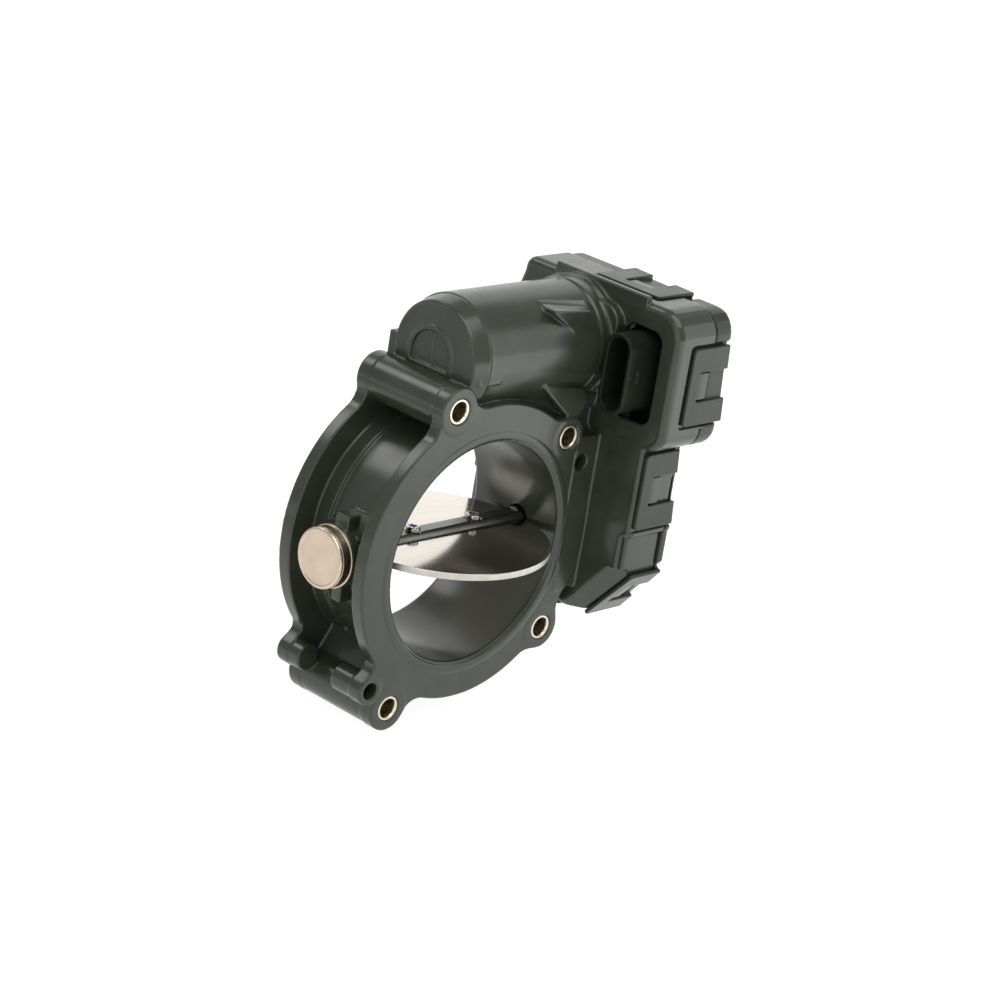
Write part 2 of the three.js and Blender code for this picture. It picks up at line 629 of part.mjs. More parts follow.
// ---- Motor ----
function motorCan() {
  const inner = CAN.radius - CAN.wall;
  const noseInner = CAN_NOSE.radius - 1;
  return turnedX(
    [
      [CAN_NOSE.from, MOTOR_SHAFT.radius + 0.4],
      [CAN_NOSE.from, CAN_NOSE.radius],
      [CAN.from, CAN_NOSE.radius],
      [CAN.from, CAN.radius],
      [CAN.to, CAN.radius],
      [CAN.to, inner],
      [CAN.from + CAN.wall, inner],
      [CAN.from + CAN.wall, noseInner],
      [CAN_NOSE.from + 1, noseInner],
      [CAN_NOSE.from + 1, MOTOR_SHAFT.radius + 0.4],
      [CAN_NOSE.from, MOTOR_SHAFT.radius + 0.4],
    ],
    SHAFT_Y,
    MOTOR_Z,
    32,
  );
}

// Pushes the motor against the case, so that it can't rattle.
function waveWasher() {
  return ringX(WASHER.outer, WASHER.inner, WASHER_FROM, WASHER_FROM + WASHER.thickness, ...MOTOR_AXIS, 24);
}

const MAGNET = { outer: 16.5, inner: 14, half: 1.05, from: 2, to: 40 };

function motorMagnet(side) {
  const steps = 8;
  const at = (radius, i) => {
    const angle = side + MAGNET.half * ((2 * i) / steps - 1);
    return [SHAFT_Y + radius * Math.cos(angle), MOTOR_Z + radius * Math.sin(angle)];
  };
  const outline = [];
  for (let i = 0; i <= steps; i++) outline.push(at(MAGNET.outer, i));
  for (let i = steps; i >= 0; i--) outline.push(at(MAGNET.inner, i));
  return prismX(outline, MAGNET.from, MAGNET.to);
}

function motorArmature() {
  return turnedX(
    [
      [0, MOTOR_SHAFT.radius + GAP],
      [0, 9],
      [4, 10.5],
      [4, 13.4],
      [36, 13.4],
      [36, 10.5],
      [40, 9],
      [40, MOTOR_SHAFT.radius + GAP],
      [0, MOTOR_SHAFT.radius + GAP],
    ],
    SHAFT_Y,
    MOTOR_Z,
    20,
  );
}

function motorEndPlate() {
  const plate = rodX(CAN.radius, CAN.to + GAP, CASE_FLOOR + GAP, SHAFT_Y, MOTOR_Z, 32);
  const ears = motorScrewPlaces().map(([y, z]) =>
    rodX(4.3, CASE_FLOOR + GAP, CASE_FLOOR + 2.5, y, z, 16),
  );
  const bar = onBar(3.2, CASE_FLOOR + GAP, CASE_FLOOR + 2.5);
  const holders = [-1, 1].map((side) => besideMotor(side, BRUSH.outer, BRUSH.outer + 4, [42, CAN.to + 1], 3));
  const screwHoles = motorScrewPlaces().map(([y, z]) => rodX(MOTOR_SCREW.radius + GAP, 50, 65, y, z, 12));
  const bladeHoles = contactPlaces().map((place) => motorContact(place, GAP));
  const bushHole = rodX(MOTOR_BUSH.radius + GAP, 50, 65, SHAFT_Y, MOTOR_Z, 16);
  return join(plate, ears, bar, holders).subtract(join(screwHoles, bladeHoles, bushHole));
}

// A block on one side of the motor's axis, between two distances from it.
function besideMotor(side, near, far, x, half) {
  const y = [SHAFT_Y + side * near, SHAFT_Y + side * far].sort((a, b) => a - b);
  return box(x, y, [MOTOR_Z - half, MOTOR_Z + half]);
}

function motorBush(radius, from, to) {
  return ringX(radius, MOTOR_SHAFT.radius + 0.2, from, to, ...MOTOR_AXIS, 20);
}

function motorCommutator() {
  const { radius, from, to } = COMMUTATOR;
  return ringX(radius, MOTOR_SHAFT.radius + GAP, from, to, ...MOTOR_AXIS, 20);
}

// The bar that joins the two screw ears of the motor's end plate.
function onBar(half, x0, x1) {
  const geometry = new THREE.BoxGeometry(x1 - x0, 2 * MOTOR_SCREW_RADIUS, 2 * half);
  geometry.rotateX(MOTOR_SCREW_ANGLE);
  geometry.translate((x0 + x1) / 2, SHAFT_Y, MOTOR_Z);
  return solid(geometry);
}

function contactPlaces() {
  const { offset, height, lean } = CONTACT;
  return [-offset, offset].map((y) => [SHAFT_Y + y, MOTOR_Z + height + y * lean]);
}

function motorContact([y, z], grow = 0) {
  const [thick, wide] = CONTACT.half.map((half) => half + grow);
  return box([CONTACT.from - grow, CONTACT.to], [y - thick, y + thick], [z - wide, z + wide]);
}

function motorBrush(side) {
  const near = COMMUTATOR.radius + GAP;
  return besideMotor(side, near, BRUSH.outer - GAP, [BRUSH.from, BRUSH.to], BRUSH.half);
}

function motorScrew([y, z]) {
  const { radius, head, length, under } = MOTOR_SCREW;
  return turnedX(
    [
      [under - length, 0],
      [under - length, radius],
      [under, radius],
      [under, head],
      [under + 1.6, head],
      [under + 2.1, head - 0.8],
      [under + 2.1, 0],
    ],
    y,
    z,
    14,
  );
}

// ---- Throttle body: what turns with the shaft ----
function throttleShaft() {
  const rod = rodX(SHAFT_RADIUS, SHAFT_FROM, SHAFT_TO, SHAFT_Y, 0, 28);
  const reach = PLATE_RADIUS + GAP;
  const half = PLATE_THICKNESS / 2 + GAP;
  const slot = box([-reach, reach], [0, BODY_LENGTH], [-half, half]);
  const flat = box([2 - BORE_RADIUS, BORE_RADIUS - 2], [0, BODY_LENGTH], [SHAFT_FLAT_Z, 2 * SHAFT_RADIUS]);
  const holes = PLATE_SCREWS_X.map((x) => screwHole(x));
  return rod.subtract(join(slot, flat, holes));
}

function screwHole(x) {
  const radius = PLATE_SCREW.shank + GAP;
  const geometry = new THREE.CylinderGeometry(radius, radius, 20, 14);
  geometry.rotateX(Math.PI / 2);
  geometry.translate(x, SHAFT_Y, 0);
  return solid(geometry);
}

function throttlePlate() {
  const geometry = new THREE.CylinderGeometry(PLATE_RADIUS, PLATE_RADIUS, PLATE_THICKNESS, 64);
  geometry.rotateX(Math.PI / 2);
  geometry.translate(0, SHAFT_Y, 0);
  return solid(geometry).subtract(join(PLATE_SCREWS_X.map((x) => screwHole(x))));
}

function plateScrew(x) {
  const { shank, head, headHeight, bevel } = PLATE_SCREW;
  const under = SHAFT_FLAT_Z + GAP;
  const top = under + headHeight;
  const profile = [
    [0, GAP - SHAFT_RADIUS],
    [shank, GAP - SHAFT_RADIUS],
    [shank, under],
    [head, under],
    [head, top - 0.6],
    [head - bevel, top],
    [0, top],
  ].map(([radius, z]) => new THREE.Vector2(radius, z));
  const geometry = new THREE.LatheGeometry(profile, 16);
  geometry.rotateX(Math.PI / 2);
  geometry.translate(x, SHAFT_Y, 0);
  return solid(geometry);
}

function sectorGear() {
  const teeth = TEETH.sector;
  const step = toothStep(teeth);
  const root = pitchRadius(teeth) - DEDENDUM;
  // a gap lies on the line to the idler at rest, and the teeth run on from there towards the front
  const first = LOWER_MESH + step / 2 - Math.round(SECTOR_MARGIN / step) * step;
  const count = Math.round((TRAVEL + 2 * SECTOR_MARGIN) / step);
  const rim = toothPoints(teeth, first, count, THROTTLE_AXIS);
  const last = first + (count - 1) * step;
  const corner = (radius, angle) => [SHAFT_Y + radius * Math.cos(angle), radius * Math.sin(angle)];
  const fan = [
    ...rim,
    corner(root - 5, last + step * 0.6),
    corner(SECTOR_HUB_RADIUS - 1, last + 0.7),
    corner(SECTOR_HUB_RADIUS - 1, (first + last) / 2 + Math.PI),
    corner(SECTOR_HUB_RADIUS - 1, first - 0.7),
    corner(root - 5, first - step * 0.6),
  ];
  const web = prismX(fan, ...SECTOR_X);
  const hub = rodX(SECTOR_HUB_RADIUS, 55, SHAFT_TO - 0.5, SHAFT_Y, 0, 28);
  return web.add(hub).subtract(rodX(SHAFT_RADIUS + GAP, 50, SHAFT_TO + 1, SHAFT_Y, 0, 28));
}

function sensorMagnet() {
  return rodX(6, SHAFT_TO + GAP, SHAFT_TO + 2.8, SHAFT_Y, 0, 20);
}

// ---- Idler and pinion ----
function idlerGear() {
  const small = TEETH.idlerSmall;
  const large = TEETH.idlerLarge;
  const smallGear = prismX(toothPoints(small, LOWER_MESH + Math.PI, small, IDLER_AXIS), ...IDLER_SMALL_X);
  const largeGear = prismX(toothPoints(large, UPPER_MESH, large, IDLER_AXIS), ...IDLER_LARGE_X);
  const bore = rodX(IDLER_PIN_RADIUS + 0.2, 50, 80, ...IDLER_AXIS, 16);
  return smallGear.add(largeGear).subtract(bore);
}

function motorPinion() {
  const teeth = TEETH.pinion;
  const first = UPPER_MESH + Math.PI + toothStep(teeth) / 2;
  const gear = prismX(toothPoints(teeth, first, teeth, MOTOR_AXIS), ...PINION_X);
  return gear.subtract(rodX(MOTOR_SHAFT.radius + GAP, 60, 80, ...MOTOR_AXIS, 12));
}

// ---- Assembly ----
const throttleBody = new THREE.Group();

function add(name, body, look) {
  const mesh = new THREE.Mesh(geometryOf(body), new THREE.MeshStandardMaterial(look));
  mesh.name = name;
  throttleBody.add(mesh);
}

add("throttle_housing", housing(), plastic);
for (const bolt of BOLTS) add("flange_bush_" + bolt.name, flangeBush(bolt), brass);
add("end_cap", endCap(), nickel);
for (const [side, bearing] of Object.entries({ cap: CAP_BEARING, gear: GEAR_BEARING })) {
  for (const [ring, body] of Object.entries(bearingRings(bearing))) {
    add(side + "_side_bearing_" + ring, body, steel);
  }
}
add("cap_side_shaft_seal", shaftSeal(-46.3), rubber);
add("gear_side_shaft_seal", shaftSeal(43.9), rubber);
add("return_spring", returnSpring(), darkSteel);
add("idler_pin", idlerPin(), steel);
add("cover_gasket", coverGasket(), rubber);
add("gear_cover", gearCover(), plastic);
pinSolids(0, PINS.to).forEach((pin, i) => add("connector_pin_" + (i + 1), pin, brass));
add("sensor_circuit_board", sensorBoard(), board);
add("sensor_chip", sensorChip(), ferrite);

add("motor_can", motorCan(), steel);
add("motor_wave_washer", waveWasher(), steel);
[0, Math.PI].forEach((side, i) => add("motor_magnet_" + (i + 1), motorMagnet(side), ferrite));
add("motor_end_plate", motorEndPlate(), palePlastic);
[-1, 1].forEach((side, i) => add("motor_brush_" + (i + 1), motorBrush(side), copper));
contactPlaces().forEach((place, i) => add("motor_contact_" + (i + 1), motorContact(place), brass));
add("motor_front_bush", motorBush(CAN_NOSE.radius - 1 - GAP, -7.1, -4.4), brass);
add("motor_rear_bush", motorBush(MOTOR_BUSH.radius, MOTOR_BUSH.from, MOTOR_BUSH.to), brass);
motorScrewPlaces().forEach((place, i) => add("motor_screw_" + (i + 1), motorScrew(place), steel));

add("throttle_shaft", throttleShaft(), darkSteel);
add("throttle_plate", throttlePlate(), steel);
PLATE_SCREWS_X.forEach((x, i) => add("plate_screw_" + (i + 1), plateScrew(x), steel));
add("sector_gear", sectorGear(), palePlastic);
add("sensor_magnet", sensorMagnet(), ferrite);

add("idler_gear", idlerGear(), palePlastic);

add("motor_shaft", rodX(MOTOR_SHAFT.radius, MOTOR_SHAFT.from, MOTOR_SHAFT.to, ...MOTOR_AXIS, 14), steel);
add("motor_armature", motorArmature(), copper);
add("motor_commutator", motorCommutator(), copper);
add("motor_pinion", motorPinion(), brass);

export default throttleBody;
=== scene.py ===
"""Looks of an electronic throttle body: a moulded housing and cover, metal pieces and a plain studio.

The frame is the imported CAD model: X runs along the throttle shaft towards the gear cover, Y along the bore
from the front flange to the rear one, and Z is up. The origin is the centre of the bore on the front flange
face. The moulded pieces are blended distance fields worked out in millimetres and meshed in metres.
"""
import json
import math

import bmesh
import bpy
import numpy as np
import openvdb
from mathutils import Matrix, Vector


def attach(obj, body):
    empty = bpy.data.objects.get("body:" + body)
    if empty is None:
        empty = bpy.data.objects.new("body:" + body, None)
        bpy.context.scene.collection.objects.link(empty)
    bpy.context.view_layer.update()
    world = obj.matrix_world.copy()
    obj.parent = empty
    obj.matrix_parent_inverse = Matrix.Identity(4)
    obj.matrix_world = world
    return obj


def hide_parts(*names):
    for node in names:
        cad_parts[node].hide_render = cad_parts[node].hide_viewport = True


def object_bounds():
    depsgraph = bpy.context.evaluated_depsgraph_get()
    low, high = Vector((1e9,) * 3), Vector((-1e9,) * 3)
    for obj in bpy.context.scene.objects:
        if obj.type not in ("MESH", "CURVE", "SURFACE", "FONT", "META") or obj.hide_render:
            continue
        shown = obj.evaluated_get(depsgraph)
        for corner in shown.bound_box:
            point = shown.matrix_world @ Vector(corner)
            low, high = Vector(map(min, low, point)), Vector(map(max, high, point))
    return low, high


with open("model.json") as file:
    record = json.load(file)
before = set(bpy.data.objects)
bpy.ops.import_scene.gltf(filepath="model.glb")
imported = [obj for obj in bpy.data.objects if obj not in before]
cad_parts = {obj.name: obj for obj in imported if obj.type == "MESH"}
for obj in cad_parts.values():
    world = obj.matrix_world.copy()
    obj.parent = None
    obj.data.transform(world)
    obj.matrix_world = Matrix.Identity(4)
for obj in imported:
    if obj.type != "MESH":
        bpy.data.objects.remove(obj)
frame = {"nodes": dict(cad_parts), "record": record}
cad_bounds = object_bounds()

# ---- Driving dimensions, in millimetres, as in the CAD source ----
BORE_RADIUS = 41
TUBE_RADIUS = 44.6
BODY_LENGTH = 42.6
FLANGE_RADIUS = 55
FLANGE_THICKNESS = 5.4
REAR_FLANGE_Y = BODY_LENGTH - FLANGE_THICKNESS
BUSH = {"outer": 4.55, "inner": 3.5}
BOLTS = {
    "top_left": (-20.4, 55.1, 8.4),
    "top_right": (38.6, 38.0, 7.2),
    "bottom_right": (40.6, -35.7, 8.1),
    "bottom_left": (-33.3, -52.9, 8.2),
}
DOWEL = {"place": (-43.6, -44.3), "boss": 5.1, "hole": 3.1, "front": 15, "rear": 11}
PILOT_HOLE = {"place": (47.5, 27.3), "radius": 3.1, "depth": 8}

SHAFT_Y = 20.2
SHAFT_RADIUS = 4.1
SHAFT_FLAT_Z = 3.3
SHAFT_FROM, SHAFT_TO = -54, 70
PLATE_RADIUS = 40.6
PLATE_THICKNESS = 2.4
PLATE_SCREWS_X = (-13, 17.5)
SHAFT_AXIS = (SHAFT_Y, 0)

CAP = {"radius": 10.9, "wall": 1.2, "from": -57.3, "to": -47}
CAP_BOSS = {"radius": 13, "end": -52, "step": -45.6, "root": -40}
# x, y and z ranges of the blocks beside the cap's boss
CAP_BLOCKS = [
    ((-50.5, -41), (15.2, 22), (8, 15.6)),
    ((-47.8, CAP_BOSS["root"]), (7.6, 13.2), (8, 17.8)),
    ((-50.5, -41), (14.2, 19), (-15.6, -8)),
]
GEAR_BOSS_RADIUS = 18.4

MOTOR_Z = 68.7
MOTOR_AXIS = (SHAFT_Y, MOTOR_Z)
BARREL_RADIUS = 21
NOSE = {"radius": 19.3, "from": -16.6, "to": -9.2}
BARREL_WEB_Y = 6.2
# tip, head, radius of the head and front of the flat-faced bosses beside the barrel
SIDE_BOSSES = [((22.6, 85.6), (38.7, 79.8), 5.2, 1.2), ((23.0, 58.4), (40.4, 50.2), 5.8, 1.0)]
SCREW_LOBE = (4.6, 78.2)
CAN = {"radius": 18.5, "from": -6.8}
IDLER_AXIS = (23.372, 39.874)
# x, y and z ranges, edge and fillet of the web and the pads on the barrel's nose
BARREL_PADS = [
    ((NOSE["from"] + 0.1, -2), (3.6, REAR_FLANGE_Y + 3), (55, 63.4), 0.5, 0.6),
    ((-13.7, -2.1), (-0.45, 8), (63.0, 70.6), 0.35, 0.15),
    ((-14.6, -5), (36, 43.8), (60.8, 70.4), 0.5, 0.5),
]
# where it starts, centre, radius, edge and fillet of what runs along X into the case
COLLARS = [
    (47, MOTOR_AXIS, 21.5, 0.4, 0.6),
    (52.2, MOTOR_AXIS, 22.4, 0.4, 0.8),
    (51.2, SCREW_LOBE, 7.4, 0.6, 1.6),
]
CASE_RODS = [
    (42, (9, 79.4), 5.2, 0.4, 0.8),
    (44, (9.4, 49.6), 5.2, 0.4, 0.8),
    (34, (39.7, 57.4), 4.4, 0.4, 1.2),
    (49, IDLER_AXIS, 5.5, 0.6, 1.2),
]
# centre, radius, from, to and fillet of the hollows along X
HOLLOWS = [
    (SHAFT_AXIS, SHAFT_RADIUS + 0.5, -50, 60, 0.2),
    (SHAFT_AXIS, 7.3, -46.7, -43.7, 0.2),  # seal on the cap's side
    (SHAFT_AXIS, 7.3, 43.7, 46.6, 0.2),  # seal on the gears' side
    (SHAFT_AXIS, CAP["radius"] - 0.4, CAP_BOSS["end"] - 1, CAP["to"] + 0.3, 0.2),
    (SHAFT_AXIS, 11.3, 46.2, 60, 0),  # bearing on the gears' side
    (SHAFT_AXIS, 15.6, 53.8, 60, 0),  # return spring
    (MOTOR_AXIS, CAN["radius"], CAN["from"], 60, 0),
    (MOTOR_AXIS, 15.3, -8, 0, 0),  # wave washer
    (MOTOR_AXIS, 6.3, -8.7, 0, 0),  # motor's rear bush
    (IDLER_AXIS, 2.3, 51, 60, 0),
]

CASE_FROM, CASE_FLOOR, CASE_TO = 55, 57.6, 74.8
COVER_FROM = 75.1
COVER_TO = {"upper": 85.4, "lower": 79}
COVER_INSIDE = {"upper": 83, "lower": 76.9}
CASE_WALL = 2.8
STEP_Z = 38.5
CASE_TOP, CASE_BOTTOM = 89.2, -30.6
CASE_FRONT = {"upper": -28, "lower": -20.6, "pad": -18.6}
CASE_REAR = {"upper": 50, "lower": 57}
CASE_SKIN = 0.9  # how far the walls stand out round the clips
CASE_BEVEL = ((55.5, -12.9, -10.1), (0.737, 0.510, 0.444))  # a point and the inward direction
SHROUD = {"y": (-16.5, -4.5), "z": (49.8, 79.6), "wall": 1.4, "mouth": 44.5, "floor": 58}
WINDOW = {"y": (-20.5, -3.2), "z": (46.5, 81)}
COVER_RIBS_Z = (52, 65, 78)

# y, z, angle of the outward direction from +Z towards -Y, width, from, to
CLIPS = [
    (CASE_FRONT["upper"], 63, 90, 29, 63.5, 84),
    (CASE_FRONT["lower"], 21.8, 90, 29, 56.7, 76),
    (5.2, CASE_TOP, 0, 30.5, 62.5, 83),
    (-11.3, -21.3, 131.1, 29, 60.5, 78.6),
    (18, CASE_BOTTOM, 180, 22, 56.7, 76.7),
    (CASE_REAR["lower"], 18, 270, 29, 56.7, 76.7),
    (CASE_REAR["upper"], 68, 270, 20, 63.5, 83.5),
]
LEAN = (0.08, 0.1, -0.07, 0.13, 0, 0, 0)  # how far the ends of each clip's legs slope along its width
CLIP = {"gap": 0.3, "thickness": 1.5, "bar": 5, "slot_share": 0.38, "catch": 5, "catch_height": 1.2}

X, Y, Z = 0, 1, 2
FAR = 4.0  # distances beyond this one aren't kept
CREASE_COSINE = 0.86
SHARP_ANGLE = 35


# ---- Blended distance fields ----
def blended(a, b, radius):
    """The union of two distance fields, with a fillet where they meet."""
    if radius <= 0:
        return np.minimum(a, b)
    u = np.maximum(radius - a, 0)
    v = np.maximum(radius - b, 0)
    return np.maximum(np.minimum(a, b), radius) - np.sqrt(u * u + v * v)


class Flat:
    """An outline in a plane. Its distance is negative inside."""

    def __init__(self, low, high, distance):
        self.low = np.array(low, float)
        self.high = np.array(high, float)
        self.distance = distance

    def join(self, other, fillet=0.0):
        low = np.minimum(self.low, other.low)
        high = np.maximum(self.high, other.high)
        return Flat(low, high, lambda u, v: blended(self.distance(u, v), other.distance(u, v), fillet))

    def grown(self, by):
        return Flat(self.low - by, self.high + by, lambda u, v: self.distance(u, v) - by)


def disc(centre, radius):
    cu, cv = centre
    low, high = (cu - radius, cv - radius), (cu + radius, cv + radius)
    return Flat(low, high, lambda u, v: np.hypot(u - cu, v - cv) - radius)


def rectangle(u_range, v_range, corner=0.0):
    cu, cv = sum(u_range) / 2, sum(v_range) / 2
    hu, hv = u_range[1] - cu - corner, v_range[1] - cv - corner

    def distance(u, v):
        du, dv = np.abs(u - cu) - hu, np.abs(v - cv) - hv
        outside = np.hypot(np.maximum(du, 0), np.maximum(dv, 0))
        return outside + np.minimum(np.maximum(du, dv), 0) - corner

    return Flat((u_range[0], v_range[0]), (u_range[1], v_range[1]), distance)


def flat_taper(a, b, radius_a, radius_b):
    """A limb that narrows from radius_a at a to radius_b at b."""
    along = (b[0] - a[0], b[1] - a[1])
    square = along[0] ** 2 + along[1] ** 2

    def distance(u, v):
        t = np.clip(((u - a[0]) * along[0] + (v - a[1]) * along[1]) / square, 0, 1)
        away = np.hypot(u - a[0] - t * along[0], v - a[1] - t * along[1])
        return away - radius_a - t * (radius_b - radius_a)

    low = [min(p - radius_a, q - radius_b) for p, q in zip(a, b)]
    high = [max(p + radius_a, q + radius_b) for p, q in zip(a, b)]
    return Flat(low, high, distance)


def rounded(corners, steps=7):
    """The points of an outline of (u, v, radius) corners."""
    points = []
    count = len(corners)
    for i, (u, v, radius) in enumerate(corners):
        here = Vector((u, v))
        before = (Vector(corners[i - 1][:2]) - here).normalized()
        after = (Vector(corners[(i + 1) % count][:2]) - here).normalized()
        half = before.angle(after) / 2
        if radius <= 0:
            points.append((u, v))
            continue
        centre = here + (before + after).normalized() * (radius / math.sin(half))
        start = here + before * (radius / math.tan(half)) - centre
        end = here + after * (radius / math.tan(half)) - centre
        for k in range(steps + 1):
            spoke = start.lerp(end, k / steps).normalized() * radius
            points.append(tuple(centre + spoke))
    return points


def polygon(corners):
    """The outline through (u, v, radius) corners."""
    points = rounded(corners)
    pairs = list(zip(points, points[1:] + points[:1]))

    def distance(u, v):
        nearest = None
        inside = None
        for (u0, v0), (u1, v1) in pairs:
            eu, ev = u1 - u0, v1 - v0
            if eu * eu + ev * ev < 1e-9:
                continue
            wu, wv = u - u0, v - v0
            t = np.clip((wu * eu + wv * ev) / (eu * eu + ev * ev), 0, 1)
            reach = (wu - eu * t) ** 2 + (wv - ev * t) ** 2
            left = eu * wv > ev * wu
            above, below = v >= v0, v < v1
            crossed = (above & below & left) | (~above & ~below & ~left)
            nearest = reach if nearest is None else np.minimum(nearest, reach)
            inside = crossed if inside is None else inside ^ crossed
        return np.where(inside, -np.sqrt(nearest), np.sqrt(nearest))

    array = np.array(points)
    return Flat(array.min(0), array.max(0), distance)


class Solid:
    """A body given by its distance, between two corners of a box."""

    def __init__(self, low, high, distance):
        self.low = np.array(low, float)
        self.high = np.array(high, float)
        self.distance = distance


def others(axis):
    """The two axes across one."""
    return [i for i in range(3) if i != axis]


def extruded(axis, flat, start, end, edge=0.0):
    """An outline pushed along an axis, with its edges rounded."""
    u, v = others(axis)
    low, high = np.zeros(3), np.zeros(3)
    low[[u, v]], high[[u, v]] = flat.low, flat.high
    low[axis], high[axis] = start, end
    middle, half = (start + end) / 2, (end - start) / 2

    def distance(*p):
        side = flat.distance(p[u], p[v]) + edge
        lid = np.abs(p[axis] - middle) - half + edge
        outside = np.sqrt(np.maximum(side, 0) ** 2 + np.maximum(lid, 0) ** 2)
        return outside + np.minimum(np.maximum(side, lid), 0) - edge

    return Solid(low, high, distance)


def rod(axis, centre, radius, start, end, edge=0.0):
    return extruded(axis, disc(centre, radius), start, end, edge)


def block(x, y, z, edge=0.0):
    return extruded(X, rectangle(y, z, edge), x[0], x[1], edge)


def turned(axis, centre, corners):
    """A body turned about an axis, from (along, radius, corner radius) corners."""
    u, v = others(axis)
    profile = polygon(corners)
    reach = float(profile.high[1])
    low, high = np.zeros(3), np.zeros(3)
    low[[u, v]] = np.array(centre) - reach
    high[[u, v]] = np.array(centre) + reach
    low[axis], high[axis] = profile.low[0], profile.high[0]

    def distance(*p):
        return profile.distance(p[axis], np.hypot(p[u] - centre[0], p[v] - centre[1]))

    return Solid(low, high, distance)


def taper(a, b, radius_a, radius_b):
    """A cone with round ends, from radius_a at a to radius_b at b."""
    a, b = [float(c) for c in a], [float(c) for c in b]
    along = [q - p for p, q in zip(a, b)]
    square = sum(c * c for c in along)

    def distance(*p):
        offset = [c - start for c, start in zip(p, a)]
        t = np.clip(sum(c * step for c, step in zip(offset, along)) / square, 0, 1)
        away = np.sqrt(sum((c - t * step) ** 2 for c, step in zip(offset, along)))
        return away - radius_a - t * (radius_b - radius_a)

    low = [min(p - radius_a, q - radius_b) for p, q in zip(a, b)]
    high = [max(p + radius_a, q + radius_b) for p, q in zip(a, b)]
    return Solid(low, high, distance)


def trimmed(solid, point, normal, edge=0.0):
    """A solid without what lies beyond a plane."""
    normal = [c / math.hypot(*normal) for c in normal]

    def distance(*p):
        beyond = sum((c - start) * n for c, start, n in zip(p, point, normal))
        return -blended(-solid.distance(*p), -beyond, edge)

    return Solid(solid.low, solid.high, distance)


def placed(solid, place):
    """A solid moved from its own frame."""
    back = place.inverted()

    def distance(*p):
        own = [sum(back[i][k] * p[k] for k in range(3)) + back[i][3] for i in range(3)]
        return solid.distance(*own)

    corners = []
    for i in np.ndindex(2, 2, 2):
        corner = [min(max((solid.low, solid.high)[c][k], -200), 200) for k, c in enumerate(i)]
        corners.append(place @ Vector(corner))
    return Solid(np.min(corners, axis=0), np.max(corners, axis=0), distance)


def unit(vectors):
    return vectors / np.maximum(np.linalg.norm(vectors, axis=1, keepdims=True), 1e-9)


def mesh_normals(points, *groups):
    """The mean direction of the faces round each point."""
    total = np.zeros((len(points), 3))
    for faces in groups:
        if len(faces) == 0:
            continue
        first = points[faces[:, 2]] - points[faces[:, 0]]
        second = points[faces[:, -1]] - points[faces[:, 1]]
        across = np.cross(first, second)
        for i in range(faces.shape[1]):
            np.add.at(total, faces[:, i], across)
    return unit(total)


class Field:
    """Distances on a grid, from which a piece is meshed."""

    def __init__(self, low, high, pitch):
        self.low = np.array(low, float)
        self.pitch = pitch
        counts = [int(math.ceil((b - a) / pitch)) + 1 for a, b in zip(low, high)]
        self.axes = [np.float32(a + pitch * np.arange(n)) for a, n in zip(low, counts)]
        self.values = np.full(counts, FAR, np.float32)

    def _window(self, solid):
        spans = []
        for axis, a, b in zip(self.axes, solid.low, solid.high):
            spans.append(slice(*np.searchsorted(axis, (a - FAR, b + FAR))))
        places = [axis[span] for axis, span in zip(self.axes, spans)]
        return tuple(spans), np.meshgrid(*places, indexing="ij", sparse=True)

    def _apply(self, solid, fillet, sign):
        spans, places = self._window(solid)
        if all(place.size for place in places):
            new = np.minimum(solid.distance(*places), FAR).astype(np.float32)
            old = self.values[spans]
            self.values[spans] = sign * blended(sign * old, new, fillet)

    def add(self, solid, fillet=0.0):
        self._apply(solid, fillet, 1)

    def cut(self, solid, fillet=0.0):
        self._apply(solid, fillet, -1)

    def _sampled(self, places):
        top = np.array(self.values.shape) - 2
        base = np.clip(np.floor(places).astype(int), 0, top)
        part = places - base
        total = np.zeros(len(places))
        for corner in np.ndindex(2, 2, 2):
            weight = np.ones(len(places))
            for i, c in enumerate(corner):
                weight *= part[:, i] if c else 1 - part[:, i]
            total += weight * self.values[tuple((base + corner).T)]
        return total

    def _normals(self, places, reach=0.7):
        slopes = []
        for i in range(3):
            step = np.zeros(3)
            step[i] = reach
            slopes.append(self._sampled(places + step) - self._sampled(places - step))
        return unit(np.stack(slopes, axis=1))

    def meshed(self, name, place=None):
        """A smooth mesh object of the surface. place moves it from its own frame, in millimetres."""
        grid = openvdb.FloatGrid(FAR)
        grid.copyFromArray(self.values)
        points, triangles, quads = grid.convertToPolygons(isovalue=0.0, adaptivity=0.0)
        points = np.asarray(points, float)
        triangles, quads = np.asarray(triangles), np.asarray(quads)
        normals = self._normals(points)
        faces = [tuple(f) for f in triangles.tolist() + quads.tolist()]
        plain = mesh_normals(points, triangles, quads)
        if np.sum(plain * normals) < 0:
            plain = -plain
        # the field's slope is no use across a crease
        creased = np.sum(plain * normals, axis=1) < CREASE_COSINE
        normals[creased] = plain[creased]
        points = points * self.pitch + self.low
        if place is not None:
            turn = np.array(place.to_3x3())
            points = points @ turn.T + np.array(place.translation)
            normals = normals @ turn.T
        return mesh_object(name, points, faces, normals)


def mesh_object(name, points, faces, normals=None):
    """A mesh object in metres, from points in millimetres."""
    mesh = bpy.data.meshes.new(name)
    mesh.from_pydata((np.asarray(points) / 1000).tolist(), [], faces)
    mesh.update()
    if normals is not None:
        first = mesh.polygons[0]
        facing = sum(Vector(normals[v]).dot(first.normal) for v in first.vertices)
        if facing < 0:
            mesh.flip_normals()
        mesh.shade_smooth()
        mesh.normals_split_custom_set_from_vertices(normals.tolist())
    piece = bpy.data.objects.new(name, mesh)
    bpy.context.scene.collection.objects.link(piece)
    return piece


